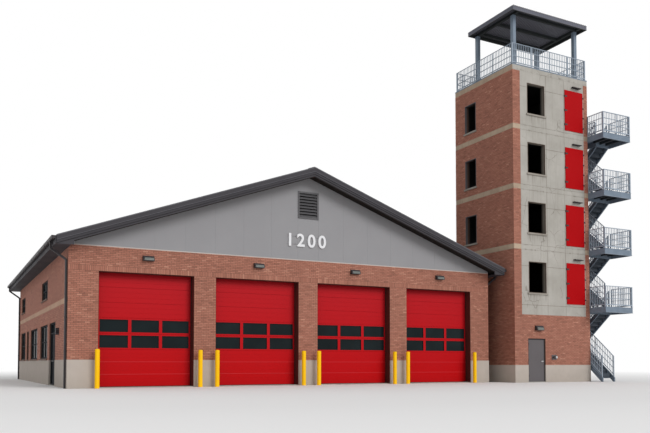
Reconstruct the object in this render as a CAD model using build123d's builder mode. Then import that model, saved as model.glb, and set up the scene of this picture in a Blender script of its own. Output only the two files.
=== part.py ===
import os
from math import radians, tan

from build123d import *

os.makedirs("parts", exist_ok=True)

# Fire station with a four-bay apparatus hall and a training tower beside it
# Millimetres, +Z up, +Y away from the street, origin on the ground at the middle of the hall

# Hall sizes
bay_count = 4
bay_width = 3660
bay_height = 4360
end_pier = 1085
mid_pier = 900
hall_depth = 18500
wall = 350
plinth_height = 1056
plinth_proud = 20
brick_top = 5300
floor_top = 30
band_low = 3170
band_high = 3370
band_proud = 15

# Hall roof sizes
roof_pitch = 19.7
eave_reach = 500
gable_reach = 600
roof_depth = 300
eave_under = 5200
board = 40
trim_board = 70
trim_depth = 190
board_drop = 110
soffit_board = 20
gutter_width = 130
gutter_depth = 120
gutter_wall = 8
spout_width = 75
spout_depth = 100
spout_bend = 60
spout_drop = 60
elbow_drop = 450
eave_return = 95
ridge_wing = 260
ridge_thick = 25

# Bay door sizes
leaf_thick = 60
leaf_lap = 40
low_section = 473
glazed_section = 600
top_section = 580
seam_width = 10
seam_depth = 8
pane_edge = 105
pane_gap = 126
pane_margin = 62
glass_thick = 12

# Windows of the hall: distance of the near edge from the front wall, and width
low_windows = [(5700, 2500), (9500, 2900), (13400, 900), (15100, 2300)]
high_windows = [(5800, 2100), (15400, 1900)]
low_sill = 1130
low_head = 2600
high_sill = 3750
high_head = 4550
rear_window = 2500
frame_width = 60
frame_depth = 70
frame_recess = 50
bar_width = 45
bar_depth = 30
sill_thick = 74
sill_reach = 60
sill_fall = 20

# Side door of the hall
side_door_near = 3200
side_door_width = 1800
side_door_head = 2600
side_leaf_width = 980
side_leaf_height = 2100
door_thick = 45
door_gap = 6
door_frame_depth = 110
pin_out = 12
barrel_radius = 11.7
barrel_length = 110
barrel_heights = [300, 1080, 1860]
barrel_plate = 30

# Small things on the walls and in front of them
lamp_width = 430
lamp_height = 190
lamp_reach = 170
lamp_low = 4840
lamp_face_share = 0.35
lamp_top_share = 0.55
door_lamp = (450, 240)
door_lamp_low = 2520
door_lamp_offset = 110
bracket_lamp = (520, 60)
bracket_lamp_reach = 200
bracket_lamp_raise = 160
bracket_lamp_share = 0.6
lantern_y = 2200
lantern_reach = 130
lantern_width = 140
lantern_low = 2040
lantern_high = 2300
bollard_radius = 87
bollard_height = 1450
bollard_offset = 300
bollard_dome_share = 0.45
bollard_spots = [-8745, -4830, -4140, -340, 370, 4180, 4880, 8680]
vent_width = 980
vent_height = 1160
vent_low = 7080
vent_rim = 70
vent_depth = 90
blade_count = 8
blade_thick = 14
blade_gap = 6

# Tower sizes
tower_gap = 790
tower_width = 4980
tower_depth = 4470
tower_forward = 1015
tower_wall = 300
tower_plinth_height = 843
tower_plinth_proud = 15
first_level = 3760
storey = 2940
level_count = 4
slab = 240
deck_slab = 300
panel_low = 3290
left_strip = 455
right_strip = 270
opening_x = 905
opening_width = 1150
opening_height = 1530
opening_sill = 595
side_opening_y = 2775
side_opening_width = 900
side_opening_height = 1480
side_opening_sill = 420
tower_sill_thick = 80
tower_sill_reach = 60
tower_sill_lap = 60
shutter_x = 3400
shutter_width = 1240
shutter_height = 2070
shutter_raise = 120
shutter_thick = 40
shutter_lap = 50
hinge_radius = 16
hinge_length = 120
hinge_shares = (0.15, 0.5, 0.85)
latch_size = 45
latch_shares = (0.12, 0.38, 0.62, 0.88)
tower_door_x = 825
tower_door_width = 1110
tower_door_head = 2130
top_door_y = 250
top_door_width = 900
top_door_height = 2100
hose_x = 560
hose_plate_width = 330
hose_plate_low = 1100
hose_plate_high = 1340
hose_plate_thick = 20
coupling_radius = 55
coupling_spread = 75
coupling_reach = 90

# Railed deck and canopy on the tower
rail_height = 1050
rail_bar = 40
rail_rows = 4
rail_low = 100
rail_post_pitch = 1250
rail_clear = 4
rail_inset = 40
post_size = 200
post_round = 25
post_left = 290
post_right = 4370
post_front = 240
post_back = 2930
canopy_rise = 2700
canopy_edge = 220
canopy_sheet = 40
canopy_rim = 60
canopy_side = 190
canopy_front = 290
canopy_right = 4720
canopy_back = 3110
beam_width = 120
beam_raise = 20
cross_beam_shares = (0.12, 0.5, 0.88)

# Outside stair of the tower
landing_width = 1930
landing_front = 1035
landing_back = 315
landing_depth = 290
landing_rim = 60
landing_plate = 40
lane = 890
lane_gap = 45
going = 240
half_risers = 7
foot_risers = 11
stringer_thick = 60
stringer_web = 12
stringer_flange = 20
stringer_drop = 280
tread_thick = 40
tread_gap = 2
arrive_y = -235
foot_y = -735
rest_length = 1000
stair_post = 120
top_landing_beyond = 50
slope_rail_start = 0.03
slope_rail_end = 0.985

# Places that follow from the sizes
hall_width = 2 * end_pier + bay_count * bay_width + (bay_count - 1) * mid_pier
half = hall_width / 2
front = -hall_depth / 2
rear = hall_depth / 2
slope = tan(radians(roof_pitch))
eave_x = half + eave_reach
roof_under_wall = eave_under + eave_reach * slope
apex_under = eave_under + eave_x * slope
apex_top = apex_under + roof_depth
soffit_low = eave_under - soffit_board
bay_lefts = [-half + end_pier + n * (bay_width + mid_pier) for n in range(bay_count)]
door_front = front + side_door_near
door_rear = door_front + side_door_width

tower_left = half + tower_gap
tower_right = tower_left + tower_width
tower_front = front - tower_forward
tower_rear = tower_front + tower_depth
levels = [first_level + n * storey for n in range(level_count)]
deck_top = levels[-1] + storey
canopy_top = deck_top + canopy_rise
walls_low = [tower_plinth_height] + levels[1:]
walls_high = [level - slab for level in levels[1:]] + [deck_top - deck_slab]
upper_riser = storey / (2 * half_risers)
ground_riser = first_level / (half_risers + foot_risers)


# A block between two opposite corners
def block(low, high, mode=Mode.ADD):
    middle = [(a + b) / 2 for a, b in zip(low, high)]
    size = [b - a for a, b in zip(low, high)]
    with Locations(tuple(middle)):
        Box(*size, mode=mode)


# Label a finished piece and write it
def save(piece, label):
    piece.label = label
    export_step(piece, f"parts/{label}.step")


# A profile in the XZ plane, drawn at y_near and carried along +Y
def prism_y(points, y_near, y_far, mode=Mode.ADD):
    with BuildSketch(Plane.XZ.offset(-y_near)) as section:
        with BuildLine():
            Polyline(*points, close=True)
        make_face()
    extrude(section.sketch, amount=-(y_far - y_near), mode=mode)


# A profile in the YZ plane, drawn at x_near and carried along +X
def prism_x(points, x_near, x_far, mode=Mode.ADD):
    with BuildSketch(Plane.YZ.offset(x_near)) as section:
        with BuildLine():
            Polyline(*points, close=True)
        make_face()
    extrude(section.sketch, amount=x_far - x_near, mode=mode)


# Hall floor, with a tongue under each bay door and under the side door
with BuildPart() as station_floor:
    block((-half + wall, front + wall, 0), (half - wall, rear - wall, floor_top))
    for bay in bay_lefts:
        block((bay, front, 0), (bay + bay_width, front + wall, floor_top))
    block((-half, door_front, 0), (-half + wall, door_rear, floor_top))
save(station_floor.part, "station_floor")

# Plinths, cast blocks that stand a little proud of the brick
pier_edges = [(-half - plinth_proud, -half + end_pier)]
for bay in bay_lefts[:-1]:
    pier_edges.append((bay + bay_width, bay + bay_width + mid_pier))
pier_edges.append((half - end_pier, half + plinth_proud))
tower_door_left = tower_left + tower_door_x
tower_door_right = tower_door_left + tower_door_width
tower_plinth_face = tower_front - tower_plinth_proud

with BuildPart() as front_plinth:
    for left, right in pier_edges:
        block((left, front - plinth_proud, 0), (right, front + wall, plinth_height))
    for left, right in (
        (tower_left - tower_plinth_proud, tower_door_left),
        (tower_door_right, tower_right + tower_plinth_proud),
    ):
        block((left, tower_plinth_face, 0), (right, tower_front + tower_wall, tower_plinth_height))
save(front_plinth.part, "front_plinth")

with BuildPart() as side_plinths:
    for near, far in ((front + wall, door_front), (door_rear, rear - wall)):
        block((-half - plinth_proud, near, 0), (-half + wall, far, plinth_height))
    block((half - wall, front + wall, 0), (half + plinth_proud, rear - wall, plinth_height))
    tower_near = tower_front + tower_wall
    tower_far = tower_rear - tower_wall
    block(
        (tower_left - tower_plinth_proud, tower_near, 0),
        (tower_left + tower_wall, tower_far, tower_plinth_height),
    )
    block(
        (tower_right - tower_wall, tower_near, 0),
        (tower_right + tower_plinth_proud, tower_far, tower_plinth_height),
    )
save(side_plinths.part, "side_plinths")

with BuildPart() as rear_plinth:
    block((-half - plinth_proud, rear - wall, 0), (half + plinth_proud, rear + plinth_proud, plinth_height))
    block(
        (tower_left - tower_plinth_proud, tower_far, 0),
        (tower_right + tower_plinth_proud, tower_rear + tower_plinth_proud, tower_plinth_height),
    )
save(rear_plinth.part, "rear_plinth")

# Front brick wall with the four bay openings
with BuildPart() as front_wall:
    block((-half, front, plinth_height), (half, front + wall, brick_top))
    for bay in bay_lefts:
        block((bay, front, plinth_height), (bay + bay_width, front + wall, bay_height), Mode.SUBTRACT)
save(front_wall.part, "front_wall")

# Side walls, bevelled on top to carry the roof
inner_rise = wall * slope


def side_wall_profile(side, low):
    outer = side * half
    inner = side * (half - wall)
    return [(outer, low), (outer, roof_under_wall), (inner, roof_under_wall + inner_rise), (inner, low)]


def cut_side_windows(side):
    outer = side * half
    inner = side * (half - wall)
    for openings, low, high in (
        (low_windows, plinth_height, low_head),
        (high_windows, high_sill - sill_thick, high_head),
    ):
        for near, width in openings:
            block(
                (min(outer, inner), front + near, low),
                (max(outer, inner), front + near + width, high),
                Mode.SUBTRACT,
            )


with BuildPart() as left_wall:
    prism_y(side_wall_profile(-1, plinth_height), front + wall, door_front)
    prism_y(side_wall_profile(-1, plinth_height), door_rear, rear - wall)
    cut_side_windows(-1)
save(left_wall.part, "left_wall")

with BuildPart() as left_wall_over_door:
    prism_y(side_wall_profile(-1, side_door_head), door_front, door_rear)
save(left_wall_over_door.part, "left_wall_over_door")

with BuildPart() as right_wall:
    prism_y(side_wall_profile(1, plinth_height), front + wall, rear - wall)
    cut_side_windows(1)
save(right_wall.part, "right_wall")

# Rear wall, one window behind each bay
rear_window_lefts = [bay + (bay_width - rear_window) / 2 for bay in bay_lefts]
with BuildPart() as rear_wall:
    block((-half, rear - wall, plinth_height), (half, rear, brick_top))
    for left in rear_window_lefts:
        block((left, rear - wall, plinth_height), (left + rear_window, rear, low_head), Mode.SUBTRACT)
save(rear_wall.part, "rear_wall")

# Pale course along both side walls
with BuildPart() as side_courses:
    block((-half - band_proud, front + wall, band_low), (-half, rear - wall, band_high))
    block((half, front + wall, band_low), (half + band_proud, rear - wall, band_high))
save(side_courses.part, "side_courses")

# Gable walls with the louvre openings
vent_high = vent_low + vent_height
with BuildPart() as gable_walls:
    gable = [
        (-half, brick_top),
        (half, brick_top),
        (half, roof_under_wall),
        (0, apex_under),
        (-half, roof_under_wall),
    ]
    prism_y(gable, front, front + wall)
    prism_y(gable, rear - wall, rear)
    block((-vent_width / 2, front, vent_low), (vent_width / 2, rear, vent_high), Mode.SUBTRACT)
save(gable_walls.part, "gable_walls")

# Louvres in the gables: a frame with leaning blades
blade_pitch = (vent_height - 2 * vent_rim) / blade_count
with BuildPart() as gable_vents:
    for face, turn in ((front, 1), (rear, -1)):
        outer = face - turn * vent_depth / 3
        inner = outer + turn * vent_depth
        near, far = min(outer, inner), max(outer, inner)
        side = vent_width / 2
        block((-side, near, vent_low), (side, far, vent_high))
        block(
            (-side + vent_rim, near, vent_low + vent_rim),
            (side - vent_rim, far, vent_high - vent_rim),
            Mode.SUBTRACT,
        )
        for n in range(blade_count):
            low = vent_low + vent_rim + n * blade_pitch + blade_gap
            high = low + blade_pitch - 2 * blade_gap
            blade = [
                (outer, low),
                (outer, low + blade_thick),
                (inner, high),
                (inner, high - blade_thick),
            ]
            prism_x(blade, -side + vent_rim, side - vent_rim)
save(gable_vents.part, "gable_vents")

# Roof slopes, each one slab from the ridge to the eave
roof_near = front - gable_reach
roof_far = rear + gable_reach
for side, label in ((-1, "roof_left"), (1, "roof_right")):
    with BuildPart() as roof_slope:
        outline = [
            (0, apex_under),
            (side * eave_x, eave_under),
            (side * eave_x, eave_under + roof_depth),
            (0, apex_top),
        ]
        prism_y(outline, roof_near, roof_far)
    save(roof_slope.part, label)

with BuildPart() as ridge_cap:
    wing_low = apex_top - ridge_wing * slope
    outline = [
        (-ridge_wing, wing_low),
        (0, apex_top),
        (ridge_wing, wing_low),
        (ridge_wing, wing_low + ridge_thick),
        (0, apex_top + ridge_thick),
        (-ridge_wing, wing_low + ridge_thick),
    ]
    prism_y(outline, roof_near, roof_far)
save(ridge_cap.part, "ridge_cap")

# Boards along the gable edges, with a deeper trim on top and a boxed return at each eave
return_inner = half - eave_return
board_under = apex_under - board_drop
with BuildPart() as barge_boards:
    for edge, turn in ((roof_near, -1), (roof_far, 1)):
        outline = [
            (-eave_x, soffit_low),
            (-return_inner, soffit_low),
            (-return_inner, board_under - return_inner * slope),
            (0, board_under),
            (return_inner, board_under - return_inner * slope),
            (return_inner, soffit_low),
            (eave_x, soffit_low),
            (eave_x, apex_top - eave_x * slope),
            (0, apex_top),
            (-eave_x, apex_top - eave_x * slope),
        ]
        near, far = min(edge, edge + turn * board), max(edge, edge + turn * board)
        prism_y(outline, near, far)
        trim = [
            (-eave_x, apex_top - eave_x * slope - trim_depth),
            (0, apex_top - trim_depth),
            (eave_x, apex_top - eave_x * slope - trim_depth),
            (eave_x, apex_top - eave_x * slope),
            (0, apex_top),
            (-eave_x, apex_top - eave_x * slope),
        ]
        near, far = min(edge, edge + turn * trim_board), max(edge, edge + turn * trim_board)
        prism_y(trim, near, far)
save(barge_boards.part, "barge_boards")

# Boxed eaves: a flat soffit and an upright fascia
with BuildPart() as eave_boxes:
    for side in (-1, 1):
        outline = [
            (side * half, soffit_low),
            (side * (eave_x + board), soffit_low),
            (side * (eave_x + board), eave_under + roof_depth - ridge_thick),
            (side * eave_x, eave_under + roof_depth - ridge_thick),
            (side * eave_x, eave_under),
            (side * half, eave_under),
        ]
        prism_y(outline, roof_near, roof_far)
save(eave_boxes.part, "eave_boxes")

# Gutters, open on top and closed at both ends
gutter_back = eave_x + board
gutter_top = eave_under + roof_depth - ridge_thick
gutter_low = gutter_top - gutter_depth
with BuildPart() as gutters:
    for side in (-1, 1):
        middle = side * (gutter_back + gutter_width / 2)
        with BuildSketch(Plane.XZ.offset(-roof_near)):
            with Locations((middle, (gutter_low + gutter_top) / 2)):
                trough = Rectangle(gutter_width, gutter_depth)
            fillet(trough.vertices().sort_by(Axis.Y)[:2], radius=gutter_depth / 3)
        extrude(amount=-(roof_far - roof_near))
        with BuildSketch(Plane.XZ.offset(-roof_near - gutter_wall)):
            with Locations((middle, (gutter_low + gutter_top) / 2 + gutter_wall)):
                hollow = Rectangle(gutter_width - 2 * gutter_wall, gutter_depth)
            fillet(hollow.vertices().sort_by(Axis.Y)[:2], radius=gutter_depth / 3 - gutter_wall)
        extrude(amount=-(roof_far - roof_near - 2 * gutter_wall), mode=Mode.SUBTRACT)
save(gutters.part, "gutters")

# Downspouts: out of the gutter, back to the wall and down to the ground
spout_x = half + plinth_proud + spout_width / 2
outlet_x = gutter_back + gutter_width / 2
with BuildPart() as downspouts:
    for side in (-1, 1):
        for y in (front + wall / 2, rear - wall / 2):
            with BuildLine() as route:
                FilletPolyline(
                    (side * outlet_x, y, gutter_low),
                    (side * outlet_x, y, soffit_low - spout_drop),
                    (side * spout_x, y, soffit_low - elbow_drop),
                    (side * spout_x, y, 0),
                    radius=spout_bend,
                )
            with BuildSketch(Plane(origin=route.line @ 0, z_dir=route.line % 0, x_dir=(1, 0, 0))):
                Rectangle(spout_width, spout_depth)
            sweep(path=route.line)
save(downspouts.part, "downspouts")

# Bay doors: sectional leaves behind the openings, standing on the floor
section_heights = [low_section] * 3 + [glazed_section] * 2 + [top_section] * 3
leaf_front = front + wall
leaf_rear = leaf_front + leaf_thick
pane_width = (bay_width - 2 * pane_edge - 2 * pane_gap) / 3
pane_height = glazed_section - 2 * pane_margin
pane_lows = [floor_top + 3 * low_section + n * glazed_section + pane_margin for n in range(2)]
pane_starts = [pane_edge + n * (pane_width + pane_gap) for n in range(3)]
with BuildPart() as bay_doors:
    for bay in bay_lefts:
        left, right = bay - leaf_lap, bay + bay_width + leaf_lap
        block((left, leaf_front, floor_top), (right, leaf_rear, floor_top + sum(section_heights)))
        for n in range(1, len(section_heights)):
            seam = floor_top + sum(section_heights[:n])
            low, high = seam - seam_width / 2, seam + seam_width / 2
            block((left, leaf_front, low), (right, leaf_front + seam_depth, high), Mode.SUBTRACT)
            block((left, leaf_rear - seam_depth, low), (right, leaf_rear, high), Mode.SUBTRACT)
        for low in pane_lows:
            for start in pane_starts:
                block(
                    (bay + start, leaf_front, low),
                    (bay + start + pane_width, leaf_rear, low + pane_height),
                    Mode.SUBTRACT,
                )
save(bay_doors.part, "bay_doors")

with BuildPart() as bay_door_glass:
    pane_y = leaf_front + leaf_thick / 2
    for bay in bay_lefts:
        for low in pane_lows:
            for start in pane_starts:
                block(
                    (bay + start, pane_y - glass_thick / 2, low),
                    (bay + start + pane_width, pane_y + glass_thick / 2, low + pane_height),
                )
save(bay_door_glass.part, "bay_door_glass")


# One window frame in the plane of its wall: a rim with bars in front of the glass
# spot is the wall plane at the window's lower left corner, seen from outside
def window_frame(spot, width, low, high, columns):
    height = high - low
    with BuildSketch(spot.offset(-frame_recess)) as rim:
        with Locations((width / 2, low + height / 2)):
            Rectangle(width, height)
            Rectangle(width - 2 * frame_width, height - 2 * frame_width, mode=Mode.SUBTRACT)
    extrude(rim.sketch, amount=-frame_depth)
    with BuildSketch(spot.offset(-frame_recess)) as bars:
        for n in range(1, columns):
            with Locations((width * n / columns, low + height / 2)):
                Rectangle(bar_width, height - 2 * frame_width)
        with Locations((width / 2, low + height / 2)):
            Rectangle(width - 2 * frame_width, bar_width)
    extrude(bars.sketch, amount=-bar_depth)


def window_pane(spot, width, low, high):
    height = high - low
    with BuildSketch(spot.offset(-frame_recess - bar_depth)) as pane:
        with Locations((width / 2, low + height / 2)):
            Rectangle(width - 2 * frame_width, height - 2 * frame_width)
    extrude(pane.sketch, amount=-glass_thick)


# All hall windows as plane, width, sill, head and number of lights
def left_plane(near):
    return Plane(origin=(-half, front + near, 0), x_dir=(0, -1, 0), z_dir=(-1, 0, 0))


def right_plane(near):
    return Plane(origin=(half, front + near, 0), x_dir=(0, 1, 0), z_dir=(1, 0, 0))


def rear_plane(left):
    return Plane(origin=(left, rear, 0), x_dir=(-1, 0, 0), z_dir=(0, 1, 0))


windows = []
for openings, low, high in ((low_windows, low_sill, low_head), (high_windows, high_sill, high_head)):
    for near, width in openings:
        lights = 2 if width > 1000 else 1
        windows.append((left_plane(near + width), width, low, high, lights))
        windows.append((right_plane(near), width, low, high, lights))
for left in rear_window_lefts:
    windows.append((rear_plane(left + rear_window), rear_window, low_sill, low_head, 2))

with BuildPart() as window_frames:
    for spot, width, low, high, lights in windows:
        window_frame(spot, width, low, high, lights)
save(window_frames.part, "window_frames")

with BuildPart() as window_glass:
    for spot, width, low, high, lights in windows:
        window_pane(spot, width, low, high)
save(window_glass.part, "window_glass")

# Sloping sills of the hall windows, as deep as the wall and a little proud
with BuildPart() as window_sills:
    for spot, width, low, high, lights in windows:
        section = Plane(origin=spot.origin, x_dir=spot.z_dir, z_dir=-spot.x_dir)
        with BuildSketch(section):
            with BuildLine():
                Polyline(
                    (-wall, low - sill_thick),
                    (sill_reach, low - sill_thick),
                    (sill_reach, low - sill_fall),
                    (-frame_recess, low),
                    (-wall, low),
                    close=True,
                )
            make_face()
        extrude(amount=-width)
save(window_sills.part, "window_sills")


# Hinge barrels on a door frame: the pin stands just outside the leaf, between it and the jamb
# spot is the pin's place, along is the way to the jamb, inward the way into the wall
def hinge_barrels(spot, along, inward):
    for height in barrel_heights:
        with Locations((spot[0], spot[1], height)):
            Cylinder(barrel_radius, barrel_length)
        corner = (
            spot[0] + along[0] * barrel_plate + inward[0] * pin_out,
            spot[1] + along[1] * barrel_plate + inward[1] * pin_out,
        )
        low = (min(spot[0], corner[0]), min(spot[1], corner[1]), height - barrel_length / 2)
        high = (max(spot[0], corner[0]), max(spot[1], corner[1]), height + barrel_length / 2)
        block(low, high)


# Side door: frame with a fixed light beside the leaf and one above it
frame_out = -half + frame_recess
frame_in = frame_out + door_frame_depth
leaf_low = floor_top + door_gap
leaf_high = leaf_low + side_leaf_height
side_pin_y = door_front + frame_width + door_gap
post_low = side_pin_y + side_leaf_width + door_gap
head_low = leaf_high + door_gap
with BuildPart() as side_door_frame:
    block((frame_out, door_front, floor_top), (frame_in, door_rear, side_door_head))
    block(
        (frame_out, door_front + frame_width, floor_top),
        (frame_in, post_low, head_low),
        Mode.SUBTRACT,
    )
    block(
        (frame_out, post_low + frame_width, floor_top + frame_width),
        (frame_in, door_rear - frame_width, head_low),
        Mode.SUBTRACT,
    )
    block(
        (frame_out, door_front + frame_width, head_low + frame_width),
        (frame_in, door_rear - frame_width, side_door_head - frame_width),
        Mode.SUBTRACT,
    )
    hinge_barrels((frame_out - pin_out, side_pin_y - door_gap / 2), (0, -1), (1, 0))
save(side_door_frame.part, "side_door_frame")

with BuildPart() as side_door_glass:
    glass_x = frame_out + door_frame_depth / 2
    block(
        (glass_x, post_low + frame_width, floor_top + frame_width),
        (glass_x + glass_thick, door_rear - frame_width, head_low),
    )
    block(
        (glass_x, door_front + frame_width, head_low + frame_width),
        (glass_x + glass_thick, door_rear - frame_width, side_door_head - frame_width),
    )
save(side_door_glass.part, "side_door_glass")

# A lever handle on the plane of a leaf's outer face, fused with the leaf
handle_height = 1020
handle_inset = 80
handle_reach = 60
handle_length = 130
rose_radius = 28
rose_thick = 12
neck_radius = 10
lever_height = 20
lever_thick = 18


def lever_handle(face, reach_sign):
    with BuildSketch(face) as rose:
        Circle(rose_radius)
    extrude(rose.sketch, amount=rose_thick)
    with BuildSketch(face) as neck:
        Circle(neck_radius)
    extrude(neck.sketch, amount=handle_reach)
    with BuildSketch(face.offset(handle_reach - lever_thick)) as lever:
        with Locations((reach_sign * handle_length / 2, 0)):
            SlotOverall(handle_length + lever_height, lever_height)
    extrude(lever.sketch, amount=lever_thick)


with BuildPart() as side_door:
    block(
        (frame_out, side_pin_y, leaf_low),
        (frame_out + door_thick, side_pin_y + side_leaf_width, leaf_high),
    )
    knob = (frame_out, side_pin_y + side_leaf_width - handle_inset, handle_height)
    lever_handle(Plane(origin=knob, x_dir=(0, -1, 0), z_dir=(-1, 0, 0)), 1)
save(side_door.part, "side_door")

# Bollards with domed tops beside the bay openings
with BuildPart() as bollards:
    for x in bollard_spots:
        with BuildSketch(Plane.XY):
            with Locations((x, front - bollard_offset)):
                Circle(bollard_radius)
        extrude(amount=bollard_height)
    rims = bollards.edges().filter_by(GeomType.CIRCLE).group_by(Axis.Z)[-1]
    fillet(rims, radius=bollard_radius * bollard_dome_share)
save(bollards.part, "bollards")


# A wall lamp with a sloping face, middle of its back at x on the wall plane y
def wall_lamp(x, y, low, width, height, reach):
    section = [
        (y, low),
        (y - reach, low),
        (y - reach, low + height * lamp_face_share),
        (y - reach * lamp_top_share, low + height),
        (y, low + height),
    ]
    prism_x(section, x - width / 2, x + width / 2)


tower_door_middle = tower_door_left + tower_door_width / 2
with BuildPart() as wall_lamps:
    for bay in bay_lefts:
        wall_lamp(bay + bay_width / 2, front, lamp_low, lamp_width, lamp_height, lamp_reach)
    wall_lamp(tower_door_middle + door_lamp_offset, tower_front, door_lamp_low, *door_lamp, lamp_reach)
    for level in levels:
        lamp_z = level + shutter_raise + shutter_height + bracket_lamp_raise
        lamp_x = tower_left + shutter_x + shutter_width * bracket_lamp_share
        wall_lamp(lamp_x, tower_front, lamp_z, *bracket_lamp, bracket_lamp_reach)
    lantern_near = front + lantern_y - lantern_width / 2
    block(
        (-half - lantern_reach, lantern_near, lantern_low),
        (-half, lantern_near + lantern_width, lantern_high),
    )
save(wall_lamps.part, "wall_lamps")

# Tower floors: each slab shows as a pale band round the tower, the lowest one is inside
with BuildPart() as tower_floors:
    inside_low = (tower_left + tower_wall, tower_front + tower_wall)
    inside_high = (tower_right - tower_wall, tower_rear - tower_wall)
    block((*inside_low, 0), (*inside_high, floor_top))
    block(
        (tower_door_left, tower_front, 0),
        (tower_door_right, tower_front + tower_wall, floor_top),
    )
    block((*inside_low, first_level - slab), (*inside_high, first_level))
    for level in levels[1:]:
        block((tower_left, tower_front, level - slab), (tower_right, tower_rear, level))
    block((tower_left, tower_front, deck_top - deck_slab), (tower_right, tower_rear, deck_top))
save(tower_floors.part, "tower_floors")

# Tower front: brick below, then a concrete panel between two brick strips
panel_left = tower_left + left_strip
panel_right = tower_right - right_strip
front_lows = [panel_low] + walls_low[1:]
with BuildPart() as tower_front_brick:
    for left, right in ((tower_left, tower_door_left), (tower_door_right, tower_right)):
        block(
            (left, tower_front, tower_plinth_height),
            (right, tower_front + tower_wall, tower_door_head),
        )
    for low, high in zip(front_lows, walls_high):
        for left, right in ((tower_left, panel_left), (panel_right, tower_right)):
            block((left, tower_front, low), (right, tower_front + tower_wall, high))
save(tower_front_brick.part, "tower_front_brick")

with BuildPart() as tower_door_lintel:
    block(
        (tower_left, tower_front, tower_door_head),
        (tower_right, tower_front + tower_wall, panel_low),
    )
save(tower_door_lintel.part, "tower_door_lintel")

window_left = tower_left + opening_x
shutter_left = tower_left + shutter_x
with BuildPart() as tower_front_panel:
    for low, high in zip(front_lows, walls_high):
        block((panel_left, tower_front, low), (panel_right, tower_front + tower_wall, high))
    for level in levels:
        sill = level + opening_sill
        block(
            (window_left, tower_front, sill - tower_sill_thick),
            (window_left + opening_width, tower_front + tower_wall, sill + opening_height),
            Mode.SUBTRACT,
        )
        low = level + shutter_raise + shutter_lap
        block(
            (shutter_left + shutter_lap, tower_front, low),
            (
                shutter_left + shutter_width - shutter_lap,
                tower_front + tower_wall,
                low + shutter_height - 2 * shutter_lap,
            ),
            Mode.SUBTRACT,
        )
save(tower_front_panel.part, "tower_front_panel")

# Left, right and rear walls of the tower, one lift between each pair of slabs
side_opening_low = tower_front + side_opening_y
side_opening_high = side_opening_low + side_opening_width
with BuildPart() as tower_left_wall:
    for low, high in zip(walls_low, walls_high):
        block((tower_left, tower_near, low), (tower_left + tower_wall, tower_far, high))
    for level in levels[1:]:
        sill = level + side_opening_sill
        block(
            (tower_left, side_opening_low, sill - tower_sill_thick),
            (tower_left + tower_wall, side_opening_high, sill + side_opening_height),
            Mode.SUBTRACT,
        )
save(tower_left_wall.part, "tower_left_wall")

top_door_low = tower_front + tower_wall + top_door_y
top_door_high = top_door_low + top_door_width
with BuildPart() as tower_right_wall:
    for low, high in zip(walls_low, walls_high):
        block((tower_right - tower_wall, tower_near, low), (tower_right, tower_far, high))
    block(
        (tower_right - tower_wall, top_door_low, levels[-1]),
        (tower_right, top_door_high, levels[-1] + top_door_height),
        Mode.SUBTRACT,
    )
save(tower_right_wall.part, "tower_right_wall")

rear_opening_left = (tower_left + tower_right - side_opening_width) / 2
with BuildPart() as tower_rear_wall:
    for low, high in zip(walls_low, walls_high):
        block((tower_left, tower_far, low), (tower_right, tower_rear, high))
    for level in levels:
        sill = level + side_opening_sill
        block(
            (rear_opening_left, tower_far, sill - tower_sill_thick),
            (rear_opening_left + side_opening_width, tower_rear, sill + side_opening_height),
            Mode.SUBTRACT,
        )
save(tower_rear_wall.part, "tower_rear_wall")

# Sills of the tower openings, wider than the opening where they stand proud
with BuildPart() as tower_sills:
    for level in levels:
        top = level + opening_sill
        low = top - tower_sill_thick
        block(
            (window_left, tower_front, low),
            (window_left + opening_width, tower_front + tower_wall, top),
        )
        block(
            (window_left - tower_sill_lap, tower_front - tower_sill_reach, low),
            (window_left + opening_width + tower_sill_lap, tower_front, top),
        )
    for level in levels[1:]:
        top = level + side_opening_sill
        low = top - tower_sill_thick
        block((tower_left, side_opening_low, low), (tower_left + tower_wall, side_opening_high, top))
        block(
            (tower_left - tower_sill_reach, side_opening_low - tower_sill_lap, low),
            (tower_left, side_opening_high + tower_sill_lap, top),
        )
    for level in levels:
        top = level + side_opening_sill
        low = top - tower_sill_thick
        left, right = rear_opening_left, rear_opening_left + side_opening_width
        block((left, tower_far, low), (right, tower_rear, top))
        block(
            (left - tower_sill_lap, tower_rear, low),
            (right + tower_sill_lap, tower_rear + tower_sill_reach, top),
        )
save(tower_sills.part, "tower_sills")

# Steel shutters over the door-high openings, with knuckles and latches
with BuildPart() as tower_shutters:
    for level in levels:
        low = level + shutter_raise
        block(
            (shutter_left, tower_front - shutter_thick, low),
            (shutter_left + shutter_width, tower_front, low + shutter_height),
        )
save(tower_shutters.part, "tower_shutters")

with BuildPart() as shutter_hardware:
    for level in levels:
        low = level + shutter_raise
        for share in hinge_shares:
            middle = low + share * shutter_height
            with Locations((shutter_left - hinge_radius, tower_front - hinge_radius, middle)):
                Cylinder(hinge_radius, hinge_length)
        for share in latch_shares:
            middle = low + share * shutter_height
            right = shutter_left + shutter_width
            block(
                (right, tower_front - latch_size, middle - latch_size / 2),
                (right + latch_size, tower_front, middle + latch_size / 2),
            )
save(shutter_hardware.part, "shutter_hardware")

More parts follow.
